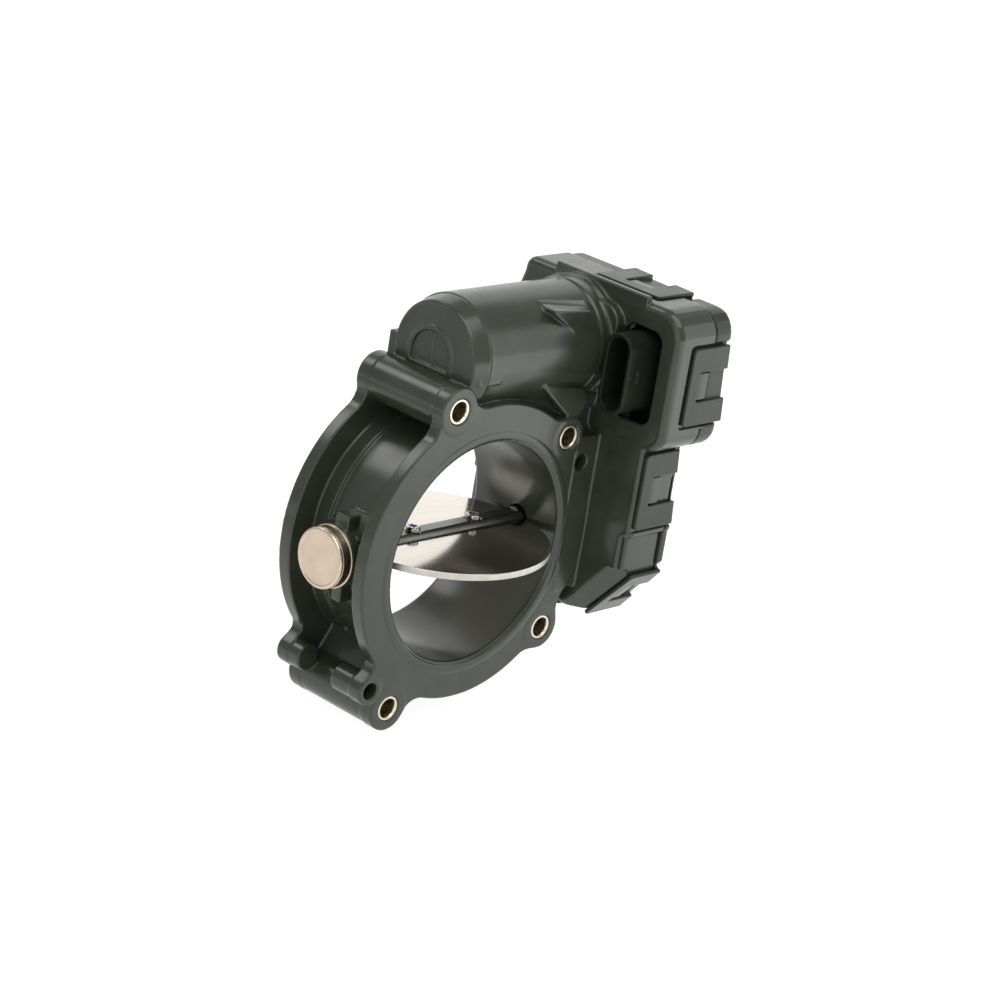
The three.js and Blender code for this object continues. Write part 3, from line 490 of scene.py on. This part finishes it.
def lathe(name, axis, centre, corners, steps=96):
    """A turned piece from (along, radius, corner radius) corners, as a smooth mesh."""
    profile = rounded(corners, 4)
    u, v = others(axis)
    points = []
    for k in range(steps):
        angle = 2 * math.pi * k / steps
        for along, radius in profile:
            point = [0.0, 0.0, 0.0]
            point[axis] = along
            point[u] = centre[0] + radius * math.cos(angle)
            point[v] = centre[1] + radius * math.sin(angle)
            points.append(point)
    size = len(profile)
    faces = []
    for k in range(steps):
        for i in range(size):
            a, b = k * size + i, k * size + (i + 1) % size
            c, d = ((k + 1) % steps) * size + (i + 1) % size, ((k + 1) % steps) * size + i
            faces.append((a, b, c, d))
    piece = mesh_object(name, points, faces)
    piece.data.validate()
    outward_and_smooth(piece)
    return piece


def outward_and_smooth(piece):
    """Turns the faces outward and shades them smooth between the sharp edges."""
    form = bmesh.new()
    form.from_mesh(piece.data)
    bmesh.ops.remove_doubles(form, verts=form.verts, dist=1e-7)
    bmesh.ops.recalc_face_normals(form, faces=form.faces)
    form.to_mesh(piece.data)
    form.free()
    piece.data.shade_smooth()
    piece.data.set_sharp_from_angle(angle=math.radians(SHARP_ANGLE))


# ---- Outlines that several pieces share ----
def flange_outline():
    outline = disc((0, 0), FLANGE_RADIUS)
    for x, z, boss in BOLTS.values():
        foot = (x * 0.66, z * 0.66)
        outline = outline.join(flat_taper(foot, (x, z), boss * 1.25, boss), 5)
    x, z = DOWEL["place"]
    outline = outline.join(flat_taper((x * 0.7, z * 0.7), (x, z), DOWEL["boss"], DOWEL["boss"]), 3)
    return outline


UPPER_CASE = polygon(
    [
        (CASE_FRONT["upper"], CASE_TOP, 9.5),
        (CASE_FRONT["upper"], STEP_Z, 7.5),
        (54.5, STEP_Z, 1),
        (54.5, 48.3, 1),
        (CASE_REAR["upper"], 56, 2),
        (CASE_REAR["upper"], 78, 2),
        (48.1, 84, 3),
        (47.6, CASE_TOP, 3.4),
    ]
)
LOWER_CASE = polygon(
    [
        (CASE_FRONT["lower"], 46, 1),
        (CASE_FRONT["lower"], 5, 1.2),
        (CASE_FRONT["pad"], 4, 1.2),
        (CASE_FRONT["pad"], -12.1, 2.5),
        (-2.5, CASE_BOTTOM, 3),
        (38, CASE_BOTTOM, 4),
        (CASE_REAR["lower"], -9, 4),
        (CASE_REAR["lower"], 44, 4),
        (CASE_REAR["upper"], 56, 2),
        (CASE_REAR["upper"] - 8, 60, 1),
    ]
)
SHROUD_OUTLINE = rectangle(SHROUD["y"], SHROUD["z"], 5.9)


def clip_place(clip):
    y, z, angle = clip[:3]
    return Matrix.Translation((0, y, z)) @ Matrix.Rotation(math.radians(angle), 4, "X")


def clip_slot(clip):
    """Half the slot's width, and where along X it starts."""
    start = min(clip[4] + CLIP["bar"], CASE_TO - CLIP["catch"] - 1)
    return clip[3] * CLIP["slot_share"] / 2, start


def clip_pocket(clip):
    """The recess in the wall round a clip."""
    width, start = clip[3:5]
    outline = rectangle((start - 0.9, 99), (-width / 2 - 0.9, width / 2 + 0.9), 1.2)
    return placed(extruded(Z, outline, 0.05, 6), clip_place(clip))


# ---- Housing ----
def add_body(form):
    form.add(rod(Y, (0, 0), TUBE_RADIUS, 0, BODY_LENGTH))
    form.add(rod(Y, (0, 0), TUBE_RADIUS + 0.9, 30.5, BODY_LENGTH, 0.4), 0.3)
    outline = flange_outline()
    for y in (0, REAR_FLANGE_Y):
        form.add(extruded(Y, outline, y, y + FLANGE_THICKNESS, 0.5), 0.9)
    x, z, _ = BOLTS["bottom_left"]
    web = flat_taper((x * 0.72, z * 0.72), (x, z), 5, 5)
    form.add(extruded(Y, web, FLANGE_THICKNESS - 1, REAR_FLANGE_Y + 1), 1.2)
    for x, z, boss in BOLTS.values():
        form.add(rod(Y, (x, z), boss, 0, BODY_LENGTH, 0.5), 0.7)
    place, boss = DOWEL["place"], DOWEL["boss"]
    form.add(rod(Y, place, boss, 0, DOWEL["front"], 0.5), 0.8)
    form.add(rod(Y, place, boss, BODY_LENGTH - DOWEL["rear"], BODY_LENGTH, 0.5), 0.8)
    # bearing boss behind the cap, with its blocks
    root = CAP_BOSS["root"]
    form.add(rod(X, SHAFT_AXIS, CAP["radius"] + 0.5, CAP_BOSS["end"], root, 0.3), 0.9)
    form.add(rod(X, SHAFT_AXIS, CAP_BOSS["radius"], CAP_BOSS["step"], root, 0.5), 0.6)
    for ranges in CAP_BLOCKS:
        form.add(block(*ranges, 0.45), 0.4)
    form.add(rod(X, SHAFT_AXIS, GEAR_BOSS_RADIUS, 40, CASE_FROM + 1), 1.2)
    # web between the flange and the gear case
    form.add(block((44, CASE_FROM + 2), (0, 10), (-22, 37), 0.4), 1.0)


def add_motor_barrel(form):
    start, end, radius = NOSE["from"], NOSE["to"], NOSE["radius"]
    nose = [
        (start, 0, 0),
        (start, radius, 0.8),
        (start + 3, BARREL_RADIUS - 1, 2),
        (end - 0.4, BARREL_RADIUS - 0.1, 0.3),
        (end, BARREL_RADIUS - 0.5, 0.2),
        (end + 4, BARREL_RADIUS - 1, 0),
        (end + 4, 0, 0),
    ]
    form.add(turned(X, (SHAFT_Y - 0.7, MOTOR_Z - 0.2), nose), 0.5)
    form.add(rod(X, MOTOR_AXIS, BARREL_RADIUS, end, CASE_FROM + 1, 0.3), 0.2)
    web = block((-11, CASE_FROM + 1), (BARREL_WEB_Y, REAR_FLANGE_Y + 2), (38, MOTOR_Z + 1), 0.8)
    form.add(web, 3.2)
    for *ranges, edge, fillet in BARREL_PADS:
        form.add(block(*ranges, edge), fillet)
    # raised arch on the nose, round a shallow panel with a rib down its middle
    top, foot = (21.2, 68), (21.2, 60)
    arch, panel = (flat_taper(top, foot, reach, reach) for reach in (11, 9))
    plateau = trimmed(extruded(X, arch, start - 0.6, start + 2, 0.25), (0, 0, 63.2), (0, 0, -1), 0.2)
    form.add(plateau, 0.25)
    recess = trimmed(extruded(X, panel, start - 2, start + 0.7), (0, 0, 64.6), (0, 0, -1), 0.2)
    form.cut(recess, 0.2)
    form.add(block((start - 0.1, start + 1), (20.9, 21.5), (64, 77.4), 0.25), 0.15)
    # collars, lobe and bosses where the barrel meets the case
    for begin, centre, reach, edge, fillet in COLLARS:
        form.add(rod(X, centre, reach, begin, CASE_FROM + 1, edge), fillet)
    for tip, head, reach, front in SIDE_BOSSES:
        form.add(extruded(Y, flat_taper(head, tip, reach, 0.8), front, 16, 0.45), 0.8)
    form.add(taper((22, 10.3, 86.2), (42, 7.6, 81.4), 0.8, 4.4), 0.7)
    for begin, centre, reach, edge, fillet in CASE_RODS:
        form.add(rod(X, centre, reach, begin, CASE_FROM + 1, edge), fillet)


def add_gear_case(form):
    high = form.low + form.pitch * (np.array(form.values.shape) - 1)
    case = Field(form.low, high, form.pitch)
    case.add(extruded(X, LOWER_CASE.grown(CASE_SKIN), CASE_FROM + 0.5, 90, 2.8))
    case.add(extruded(X, UPPER_CASE.grown(CASE_SKIN), CASE_FROM, 90, 3.0), 0.5)
    ridge = block((CASE_FROM, CASE_FROM + 2.6), (-11.2, 33.5), (CASE_TOP - 3, 92.2), 0.5)
    case.add(ridge, 0.3)
    notch = block((40, 57.6), (-30, -17.4), (-12, 3.6), 0.6)
    case.cut(trimmed(notch, (57.4, -17.4, 0), (1, -1, 0), 0.5), 1.0)
    # wide bevel along the lower front corner of the case
    bevel = block((50, 62), (-30, 4), (-36, -9.5), 0.5)
    case.cut(trimmed(bevel, *CASE_BEVEL), 0.8)
    case.cut(block((CASE_TO, 99), (-40, 70), (-40, 99)), 0.3)
    form.values = blended(form.values, case.values, 0.8)


def cut_hollows(form):
    inside = extruded(X, LOWER_CASE.grown(-CASE_WALL), CASE_FLOOR, 99, 0.6)
    corner, slope = CASE_BEVEL
    corner = [c + 2.1 * n for c, n in zip(corner, slope)]
    form.cut(trimmed(inside, corner, [-n for n in slope], 0.3), 0.3)
    form.cut(extruded(X, UPPER_CASE.grown(-CASE_WALL), CASE_FLOOR, 99, 0.6), 0.3)
    for clip in CLIPS:
        form.cut(clip_pocket(clip), 0.25)
    window = rectangle(WINDOW["y"], WINDOW["z"], 4.5)
    form.cut(extruded(X, window, 40, CASE_FLOOR + 1), 0.9)
    # bore, with a lead-in at each end
    bore = [
        (-2, 0, 0),
        (-2, BORE_RADIUS + 1.2, 0),
        (0.35, BORE_RADIUS + 1.1, 0.1),
        (0.4, BORE_RADIUS + 0.4, 0.2),
        (0.9, BORE_RADIUS, 0.4),
        (BODY_LENGTH - 0.9, BORE_RADIUS, 0.6),
        (BODY_LENGTH + 0.2, BORE_RADIUS + 0.7, 0.1),
        (BODY_LENGTH + 2, BORE_RADIUS + 0.8, 0),
        (BODY_LENGTH + 2, 0, 0),
    ]
    form.cut(turned(Y, (0, 0), bore), 0.5)
    for x, z, _ in BOLTS.values():
        form.cut(rod(Y, (x, z), BUSH["outer"] + 0.2, -1, BODY_LENGTH + 1), 0.3)
    place, hole = DOWEL["place"], DOWEL["hole"]
    form.cut(rod(Y, place, hole, -2, DOWEL["front"] - 2), 0.4)
    form.cut(rod(Y, place, hole, BODY_LENGTH - DOWEL["rear"] + 2, BODY_LENGTH + 2), 0.4)
    form.cut(rod(Y, PILOT_HOLE["place"], PILOT_HOLE["radius"], -2, PILOT_HOLE["depth"]), 0.4)
    for centre, radius, start, end, fillet in HOLLOWS:
        form.cut(rod(X, centre, radius, start, end), fillet)


def housing():
    form = Field((-58, -32, -64), (77, 61, 97), 0.5)
    add_body(form)
    add_motor_barrel(form)
    add_gear_case(form)
    cut_hollows(form)
    return form.meshed("housing_shell")


def clip_catch(clip, name):
    """The wedge on the case that the clip snaps over."""
    half, start = clip_slot(clip)
    form = Field((start - 1, -half - 1, -2.5), (start + 7, half + 1, 4), 0.16)
    foot = start + 0.5
    ramp = block((foot, foot + CLIP["catch"]), (0.5 - half, half - 0.5), (-2, CLIP["catch_height"]), 0.25)
    form.add(trimmed(ramp, (foot, 0, 0.9), (-0.28, 0, 1), 0.2))
    return form.meshed(name, clip_place(clip))


# ---- Gear cover with its connector and clips ----
def cover():
    form = Field((42, -32, -37), (88, 61, 97), 0.42)
    form.add(extruded(X, LOWER_CASE.grown(CASE_SKIN), 60, COVER_TO["lower"], 2.2))
    form.add(extruded(X, UPPER_CASE.grown(CASE_SKIN), 60, COVER_TO["upper"], 3.6), 0.6)
    # panels and ribs on the outside
    form.cut(extruded(X, UPPER_CASE.grown(-7.5), COVER_TO["upper"] - 0.8, 90), 0.4)
    for z in COVER_RIBS_Z:
        form.add(block((82, COVER_TO["upper"] - 0.1), (-22, 44), (z - 0.8, z + 0.8), 0.4), 0.4)
    form.cut(extruded(X, LOWER_CASE.grown(-6), COVER_TO["lower"] - 0.5, 81), 0.3)
    form.add(rod(X, SHAFT_AXIS, 17, 77, COVER_TO["lower"], 0.6), 0.8)
    form.add(extruded(X, UPPER_CASE, 80, COVER_TO["upper"] - 0.9, 4))
    form.cut(block((60, 90), (-60, 80), (CASE_TOP + 0.4, 99)), 2.4)
    form.add(block((72, COVER_TO["lower"] - 0.6), (CASE_FRONT["lower"], -12), (-10.4, 6), 0.8), 0.8)
    for clip in CLIPS:
        width = clip[3] + 1.6
        recess = block((COVER_FROM - 2, 99), (-width / 2, width / 2), (-1.5, 6), 0.5)
        form.cut(placed(recess, clip_place(clip)), 1.2)
    form.cut(block((40, COVER_FROM), (-40, 70), (-40, 99)), 0.3)
    form.cut(extruded(X, LOWER_CASE.grown(-CASE_WALL), 60, COVER_INSIDE["lower"], 0.5), 0.2)
    form.cut(extruded(X, UPPER_CASE.grown(-CASE_WALL), 60, COVER_INSIDE["upper"], 0.5), 0.2)
    return form.meshed("cover_shell")


def connector():
    """The shroud with its base plate, which is one moulding with the cover. It is drawn darker than the
    cover, as painted shade.
    """
    form = Field((42, -27, 40), (72, 0, 88), 0.3)
    form.add(block((66, 68), (-25, -3.4), (41.8, 85.5), 0.3))
    form.add(extruded(X, SHROUD_OUTLINE, SHROUD["mouth"], 66.5, 0.35), 0.6)
    # small T-shaped rib on its side
    form.add(block((46, 50.6), (-17.1, -15), (64.3, 65.3), 0.2), 0.15)
    form.add(block((49.6, 50.6), (-17.1, -15), (62.8, 66.8), 0.2), 0.15)
    form.cut(extruded(X, SHROUD_OUTLINE.grown(-SHROUD["wall"]), 40, SHROUD["floor"], 0.3), 0.25)
    return form.meshed("connector_shroud")


def clip_frame(clip, name):
    """One latch clip: a bar with two legs, which run into the cover."""
    width, start, end = clip[3:]
    half, slot = clip_slot(clip)
    form = Field((start - 1, -width / 2 - 1, -2.6), (end + 3, width / 2 + 1, 4), 0.2)
    outline = rectangle((start, end + 6), (-width / 2, width / 2), 1.8)
    base, top = CLIP["gap"], CLIP["gap"] + CLIP["thickness"]
    form.add(extruded(Z, outline, base, top, 0.45))
    side = width / 2 - 0.3
    form.add(block((COVER_FROM + 0.2, end + 6), (-side, side), (-2, base + 1), 0.3), 0.5)
    form.cut(extruded(Z, rectangle((slot, end + 9), (-half, half), 0.6), base - 0.02, 9), 0.35)
    lean = LEAN[CLIPS.index(clip)]
    beyond = trimmed(block((end - 4, end + 9), (-width, width), (-9, 9)), (end, 0, 0), (-1, -lean, 0))
    form.cut(beyond, 0.6)
    return form.meshed(name, clip_place(clip))


def clip_ledge(clip, name):
    """A short rib on the case's wall below a clip."""
    width, start = clip[3:5]
    z = -width / 2 - 1.5
    form = Field((start - 1, z - 2, -2), (start + 15, z + 2, 3), 0.16)
    form.add(block((start + 0.4, start + 13), (z - 0.5, z + 0.4), (-1.5, 0.9), 0.3))
    return form.meshed(name, clip_place(clip))


# ---- Metal pieces ----
def flange_bush(name):
    x, z, _ = BOLTS[name]
    outer, inner = BUSH["outer"], BUSH["inner"]
    corners = [
        (0.02, inner + 0.25, 0.1),
        (0.02, outer, 0.25),
        (BODY_LENGTH - 0.02, outer, 0.25),
        (BODY_LENGTH - 0.02, inner + 0.25, 0.1),
        (BODY_LENGTH - 0.6, inner, 0.1),
        (0.6, inner, 0.1),
    ]
    return lathe("bush_sleeve_" + name, Y, (x, z), corners)


def end_cap():
    radius, start = CAP["radius"], CAP["from"]
    inner = radius - CAP["wall"]
    corners = [
        (start + 0.25, 0, 0),
        (start + 0.25, radius - 1.5, 0.2),
        (start, radius - 1.2, 0.25),
        (start, radius, 0.8),
        (start + 0.9, radius, 0.1),
        (start + 1.0, radius - 0.3, 0.1),
        (start + 1.5, radius - 0.3, 0.1),
        (start + 1.6, radius - 0.05, 0.1),
        (start + 5.0, radius - 0.05, 0.1),
        (start + 5.1, radius + 0.35, 0.1),
        (start + 5.5, radius + 0.35, 0.15),
        (start + 5.6, radius - 0.1, 0.1),
        (CAP["to"], radius - 0.1, 0.3),
        (CAP["to"], inner, 0.1),
        (start + CAP["wall"] + 0.2, inner, 0.4),
        (start + CAP["wall"] + 0.2, 0, 0),
    ]
    return lathe("cap_shell", X, SHAFT_AXIS, corners)


def throttle_plate():
    half = PLATE_THICKNESS / 2
    corners = [
        (-half, 0, 0),
        (-half, PLATE_RADIUS, 0.22),
        (half, PLATE_RADIUS, 0.22),
        (half, 0, 0),
    ]
    return lathe("butterfly_disc", Z, (0, SHAFT_Y), corners, 160)


def throttle_shaft():
    form = Field((SHAFT_FROM - 1, SHAFT_Y - 6, -6), (SHAFT_TO + 1, SHAFT_Y + 6, 6), 0.22)
    form.add(rod(X, SHAFT_AXIS, SHAFT_RADIUS, SHAFT_FROM, SHAFT_TO, 0.3))
    form.cut(block((-38.8, 38.8), (0, 50), (SHAFT_FLAT_Z, 9)), 0.15)
    for x in PLATE_SCREWS_X:
        form.cut(rod(Z, (x, SHAFT_Y), 3.1, SHAFT_FLAT_Z - 0.35, 9), 0.15)
    return form.meshed("shaft_rod")


def plate_screw(index):
    x = PLATE_SCREWS_X[index]
    base = SHAFT_FLAT_Z - 0.3
    form = Field((x - 4, SHAFT_Y - 4, base - 2), (x + 4, SHAFT_Y + 4, base + 4), 0.1)
    form.add(rod(Z, (x, SHAFT_Y), 2.65, base, base + 2.0, 0.55))
    form.cut(rod(Z, (x, SHAFT_Y), 0.9, base + 0.9, base + 4), 0.05)
    for k in range(3):
        angle = math.pi * k / 3
        du, dv = 1.45 * math.cos(angle), 1.45 * math.sin(angle)
        lobe = flat_taper((x - du, SHAFT_Y - dv), (x + du, SHAFT_Y + dv), 0.36, 0.36)
        form.cut(extruded(Z, lobe, base + 0.9, base + 4), 0.08)
    return form.meshed("plate_screw_head_" + str(index + 1))


# ---- Materials ----
class Shader:
    """A node material around one Principled shader, for objects whose coordinates are in metres."""

    def __init__(self, name, **settings):
        self.material = bpy.data.materials.new(name)
        self.material.use_nodes = True
        self.tree = self.material.node_tree
        self.surface = self.tree.nodes["Principled BSDF"]
        for socket, value in settings.items():
            self.surface.inputs[socket.replace("_", " ")].default_value = value
        self.place = self.node("ShaderNodeTexCoord").outputs["Object"]

    def node(self, kind, **settings):
        made = self.tree.nodes.new(kind)
        for key, value in settings.items():
            setattr(made, key, value)
        return made

    def link(self, source, target):
        self.tree.links.new(source, target)

    def noise(self, scale, detail=3.0, stretch=(1, 1, 1), roughness=0.55):
        mapping = self.node("ShaderNodeMapping")
        mapping.inputs["Scale"].default_value = stretch
        self.link(self.place, mapping.inputs["Vector"])
        texture = self.node("ShaderNodeTexNoise")
        texture.inputs["Scale"].default_value = scale
        texture.inputs["Detail"].default_value = detail
        texture.inputs["Roughness"].default_value = roughness
        self.link(mapping.outputs["Vector"], texture.inputs["Vector"])
        return texture.outputs["Fac"]

    def colours(self, source, stops):
        ramp = self.node("ShaderNodeValToRGB").color_ramp
        ramp.elements[0].position, ramp.elements[1].position = stops[0][0], stops[-1][0]
        ramp.elements[0].color = (*stops[0][1], 1)
        ramp.elements[1].color = (*stops[-1][1], 1)
        for position, colour in stops[1:-1]:
            ramp.elements.new(position).color = (*colour, 1)
        node = self.tree.nodes[-1]
        self.link(source, node.inputs["Fac"])
        self.link(node.outputs["Color"], self.surface.inputs["Base Color"])

    def rough(self, source, low, high):
        ranged = self.node("ShaderNodeMapRange")
        ranged.inputs["From Min"].default_value = 0.3
        ranged.inputs["From Max"].default_value = 0.7
        ranged.inputs["To Min"].default_value = low
        ranged.inputs["To Max"].default_value = high
        self.link(source, ranged.inputs["Value"])
        self.link(ranged.outputs["Result"], self.surface.inputs["Roughness"])

    def bump(self, source, height, strength=1.0):
        bump = self.node("ShaderNodeBump")
        bump.inputs["Strength"].default_value = strength
        bump.inputs["Distance"].default_value = height
        self.link(source, bump.inputs["Height"])
        self.link(bump.outputs["Normal"], self.surface.inputs["Normal"])


def moulded_plastic(name, dark, light, low, high, shine=0.5):
    shader = Shader(name, Specular_IOR_Level=shine, IOR=1.5)
    shader.colours(shader.noise(60, 4), [(0.35, dark), (0.65, light)])
    shader.rough(shader.noise(140, 3), low, high)
    shader.bump(shader.noise(900, 2), 0.00003, 0.5)
    return shader.material


def metal(name, dark, light, low, high, scale=200, stretch=(1, 1, 1), height=0.00001, strength=0.3):
    shader = Shader(name, Metallic=1.0)
    grain = shader.noise(scale, 4, stretch)
    shader.colours(grain, [(0.3, dark), (0.7, light)])
    shader.rough(shader.noise(scale * 1.7, 3, stretch), low, high)
    shader.bump(grain, height, strength)
    return shader.material


def matt(name, dark, light, low, high, scale=300):
    shader = Shader(name)
    grain = shader.noise(scale, 4)
    shader.colours(grain, [(0.35, dark), (0.65, light)])
    shader.rough(shader.noise(scale * 0.6, 3), low, high)
    shader.bump(grain, 0.00002, 0.4)
    return shader.material


# kind, darkest and lightest colour, least and most roughness, and what else the kind takes
LOOKS = {
    "black_plastic": (moulded_plastic, (0.025, 0.030, 0.020), (0.033, 0.039, 0.028), 0.18, 0.26, 0.56),
    "cover_plastic": (moulded_plastic, (0.023, 0.028, 0.019), (0.031, 0.036, 0.026), 0.25, 0.35, 0.3),
    # the cover's plastic made darker and duller: painted shade on the connector shroud, which is one
    # moulding with the cover
    "connector_plastic": (moulded_plastic, (0.009, 0.011, 0.007), (0.014, 0.016, 0.011), 0.3, 0.4, 0.18),
    "cap_metal": (metal, (0.60, 0.49, 0.38), (0.67, 0.56, 0.44), 0.24, 0.32, 160),
    "bush_metal": (metal, (0.70, 0.62, 0.48), (0.80, 0.72, 0.58), 0.22, 0.3, 160),
    "plate_metal": (metal, (0.63, 0.58, 0.52), (0.73, 0.67, 0.60), 0.10, 0.17, 60, (1, 24, 1), 4e-6, 0.15),
    "plate_edge": (metal, (0.50, 0.48, 0.44), (0.60, 0.57, 0.52), 0.38, 0.48, 300),
    "shaft_steel": (metal, (0.15, 0.15, 0.135), (0.21, 0.21, 0.19), 0.24, 0.36, 90, (1, 12, 12)),
    "screw_metal": (metal, (0.50, 0.50, 0.50), (0.62, 0.62, 0.62), 0.16, 0.26, 600),
    "bearing_steel": (metal, (0.50, 0.50, 0.51), (0.60, 0.60, 0.61), 0.15, 0.25, 300),
    "spring_steel": (metal, (0.20, 0.20, 0.21), (0.30, 0.30, 0.31), 0.25, 0.35, 300),
    "seal_rubber": (matt, (0.012, 0.012, 0.012), (0.022, 0.022, 0.022), 0.6, 0.8),
    "gear_plastic": (matt, (0.66, 0.62, 0.52), (0.74, 0.70, 0.60), 0.4, 0.5),
    "gear_brass": (metal, (0.66, 0.50, 0.22), (0.78, 0.62, 0.32), 0.22, 0.35, 400),
    "motor_steel": (metal, (0.48, 0.49, 0.50), (0.58, 0.59, 0.60), 0.28, 0.4, 250),
    "ferrite": (matt, (0.035, 0.035, 0.037), (0.055, 0.055, 0.058), 0.55, 0.7),
    "copper": (metal, (0.55, 0.24, 0.11), (0.72, 0.36, 0.20), 0.25, 0.4, 500, (8, 1, 1)),
    "pin_metal": (metal, (0.72, 0.69, 0.60), (0.82, 0.79, 0.70), 0.18, 0.28, 400),
    "board_laminate": (matt, (0.02, 0.12, 0.06), (0.03, 0.17, 0.09), 0.3, 0.4),
}
MATERIALS = {name: make(name, *values) for name, (make, *values) in LOOKS.items()}


def finish_piece(piece, body, slot, *nodes, look=None):
    """Gives a piece its look, the body it moves with and the CAD nodes it stands for."""
    piece.data.materials.clear()
    piece.data.materials.append(MATERIALS[look or slot])
    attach(piece, body)
    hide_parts(*nodes)


# ---- Pieces ----
finish_piece(housing(), "housing", "black_plastic", "throttle_housing")
finish_piece(cover(), "housing", "cover_plastic", "gear_cover")
# the connector shroud takes a darker look than the cover: painted shade
finish_piece(connector(), "housing", "cover_plastic", "gear_cover", look="connector_plastic")
for index, clip in enumerate(CLIPS):
    number = str(index + 1)
    finish_piece(clip_frame(clip, "cover_clip_" + number), "housing", "cover_plastic", "gear_cover")
    finish_piece(clip_catch(clip, "case_catch_" + number), "housing", "black_plastic", "throttle_housing")
for index in (0, 1):
    ledge = clip_ledge(CLIPS[index], "case_ledge_" + str(index + 1))
    finish_piece(ledge, "housing", "black_plastic", "throttle_housing")
for name in BOLTS:
    finish_piece(flange_bush(name), "housing", "bush_metal", "flange_bush_" + name)
finish_piece(end_cap(), "housing", "cap_metal", "end_cap")
plate = throttle_plate()
finish_piece(plate, "throttle", "plate_metal", "throttle_plate")
plate.data.materials.append(MATERIALS["plate_edge"])
for face in plate.data.polygons:
    face.material_index = 1 if abs(face.normal.z) < 0.5 else 0
finish_piece(throttle_shaft(), "throttle", "shaft_steel", "throttle_shaft")
for index in range(len(PLATE_SCREWS_X)):
    finish_piece(plate_screw(index), "throttle", "screw_metal", "plate_screw_" + str(index + 1))

# CAD nodes that are shown as they are
slot_of = {part["node"]: part["material_slot"] for part in frame["record"]["subparts"]}
for node, piece in frame["nodes"].items():
    piece.data.materials.clear()
    piece.data.materials.append(MATERIALS[slot_of[node]])
    piece.data.shade_smooth()
    piece.data.set_sharp_from_angle(angle=math.radians(SHARP_ANGLE))

# ---- Studio ----
FLOOR_Z = cad_bounds[0][2] - 0.0005


def studio_floor():
    mesh = bpy.data.meshes.new("studio_floor")
    half = 6.0
    corners = [(u * half, v * half, FLOOR_Z) for u, v in ((-1, -1), (1, -1), (1, 1), (-1, 1))]
    mesh.from_pydata(corners, [], [(0, 1, 2, 3)])
    floor = bpy.data.objects.new("studio_floor", mesh)
    bpy.context.scene.collection.objects.link(floor)
    shader = Shader("studio_floor", Roughness=0.9)
    shader.surface.inputs["Emission Color"].default_value = (1, 1, 1, 1)
    shader.surface.inputs["Specular IOR Level"].default_value = 0.1
    shader.colours(shader.noise(3, 2), [(0.3, (0.20, 0.20, 0.20)), (0.7, (0.22, 0.22, 0.22))])
    # the floor glows most at the front right and least a little way off at the left
    aside = shader.node("ShaderNodeVectorMath", operation="DOT_PRODUCT")
    aside.inputs[1].default_value = (-0.753, 0.658, 0)
    shader.link(shader.place, aside.inputs[0])
    ranged = shader.node("ShaderNodeMapRange")
    ranged.inputs["From Min"].default_value = -0.5
    ranged.inputs["From Max"].default_value = 1.5
    shader.link(aside.outputs["Value"], ranged.inputs["Value"])
    curve = shader.node("ShaderNodeFloatCurve")
    points = curve.mapping.curves[0].points
    glow = [(0, 0.95), (0.07, 0.91), (0.15, 0.56), (0.25, 0.47), (0.35, 0.45)]
    glow += [(0.41, 0.25), (0.5, 0.2), (0.7, 0.47), (1, 0.47)]
    points[0].location, points[1].location = glow[0], glow[-1]
    for place in glow[1:-1]:
        points.new(*place)
    curve.mapping.update()
    shader.link(ranged.outputs["Result"], curve.inputs["Value"])
    strength = shader.node("ShaderNodeMath", operation="MULTIPLY")
    strength.inputs[1].default_value = 2.0
    shader.link(curve.outputs["Value"], strength.inputs[0])
    shader.link(strength.outputs["Value"], shader.surface.inputs["Emission Strength"])
    mesh.materials.append(shader.material)


def area_light(name, place, target, size, power):
    light = bpy.data.lights.new(name, "AREA")
    light.shape = "RECTANGLE"
    light.size, light.size_y = size
    light.energy = power
    lamp = bpy.data.objects.new(name, light)
    lamp.location = place
    lamp.rotation_euler = (Vector(target) - Vector(place)).to_track_quat("-Z", "Y").to_euler()
    bpy.context.scene.collection.objects.link(lamp)


def studio_world():
    world = bpy.data.worlds.new("studio_world")
    world.use_nodes = True
    background = world.node_tree.nodes["Background"]
    background.inputs["Color"].default_value = (1, 1, 1, 1)
    background.inputs["Strength"].default_value = 0.5
    bpy.context.scene.world = world


def camera():
    """The fitted viewpoint: how far round, how high, how far away, and the roll of the frame."""
    azimuth, elevation, roll = math.radians(-48.89), math.radians(19.38), math.radians(9.36)
    distance, across, up_shift = 1047.11, 8.39, 19.8
    focal = 2992.63  # in image widths of 1000
    outward = math.cos(elevation)
    back = Vector((math.sin(azimuth) * outward, -math.cos(azimuth) * outward, math.sin(elevation)))
    level = Vector((0, 0, 1)).cross(back).normalized()
    upright = back.cross(level)
    right = level * math.cos(roll) + upright * math.sin(roll)
    up = upright * math.cos(roll) - level * math.sin(roll)
    data = bpy.data.cameras.new("camera")
    data.sensor_width = 36
    data.lens = 36 * focal / 1000
    data.clip_start, data.clip_end = 0.05, 50
    data.shift_x, data.shift_y = -0.00126, -0.00332
    lens = bpy.data.objects.new("camera", data)
    place = (right * across + up * up_shift + back * distance) / 1000
    lens.matrix_world = Matrix.Translation(place) @ Matrix((right, up, back)).transposed().to_4x4()
    bpy.context.scene.collection.objects.link(lens)
    bpy.context.scene.camera = lens


studio_floor()
studio_world()
area_light("key_softbox", (-0.2, -0.5, 1.4), (0, 0, 0.02), (1.6, 1.2), 13)
area_light("right_softbox", (1.3, -0.9, 0.45), (0, 0, 0.02), (1.0, 1.0), 3)
area_light("back_softbox", (0.9, 1.2, 0.75), (0, 0, 0.05), (2.4, 1.3), 7.5)
area_light("left_fill", (-1.3, -0.5, 0.4), (0, 0, 0.02), (1.2, 1.2), 3.5)
area_light("left_softbox", (-0.45, 1.0, 1.1), (0, 0, 0.02), (0.5, 0.5), 2.5)
camera()
bpy.context.scene.view_settings.view_transform = "Standard"
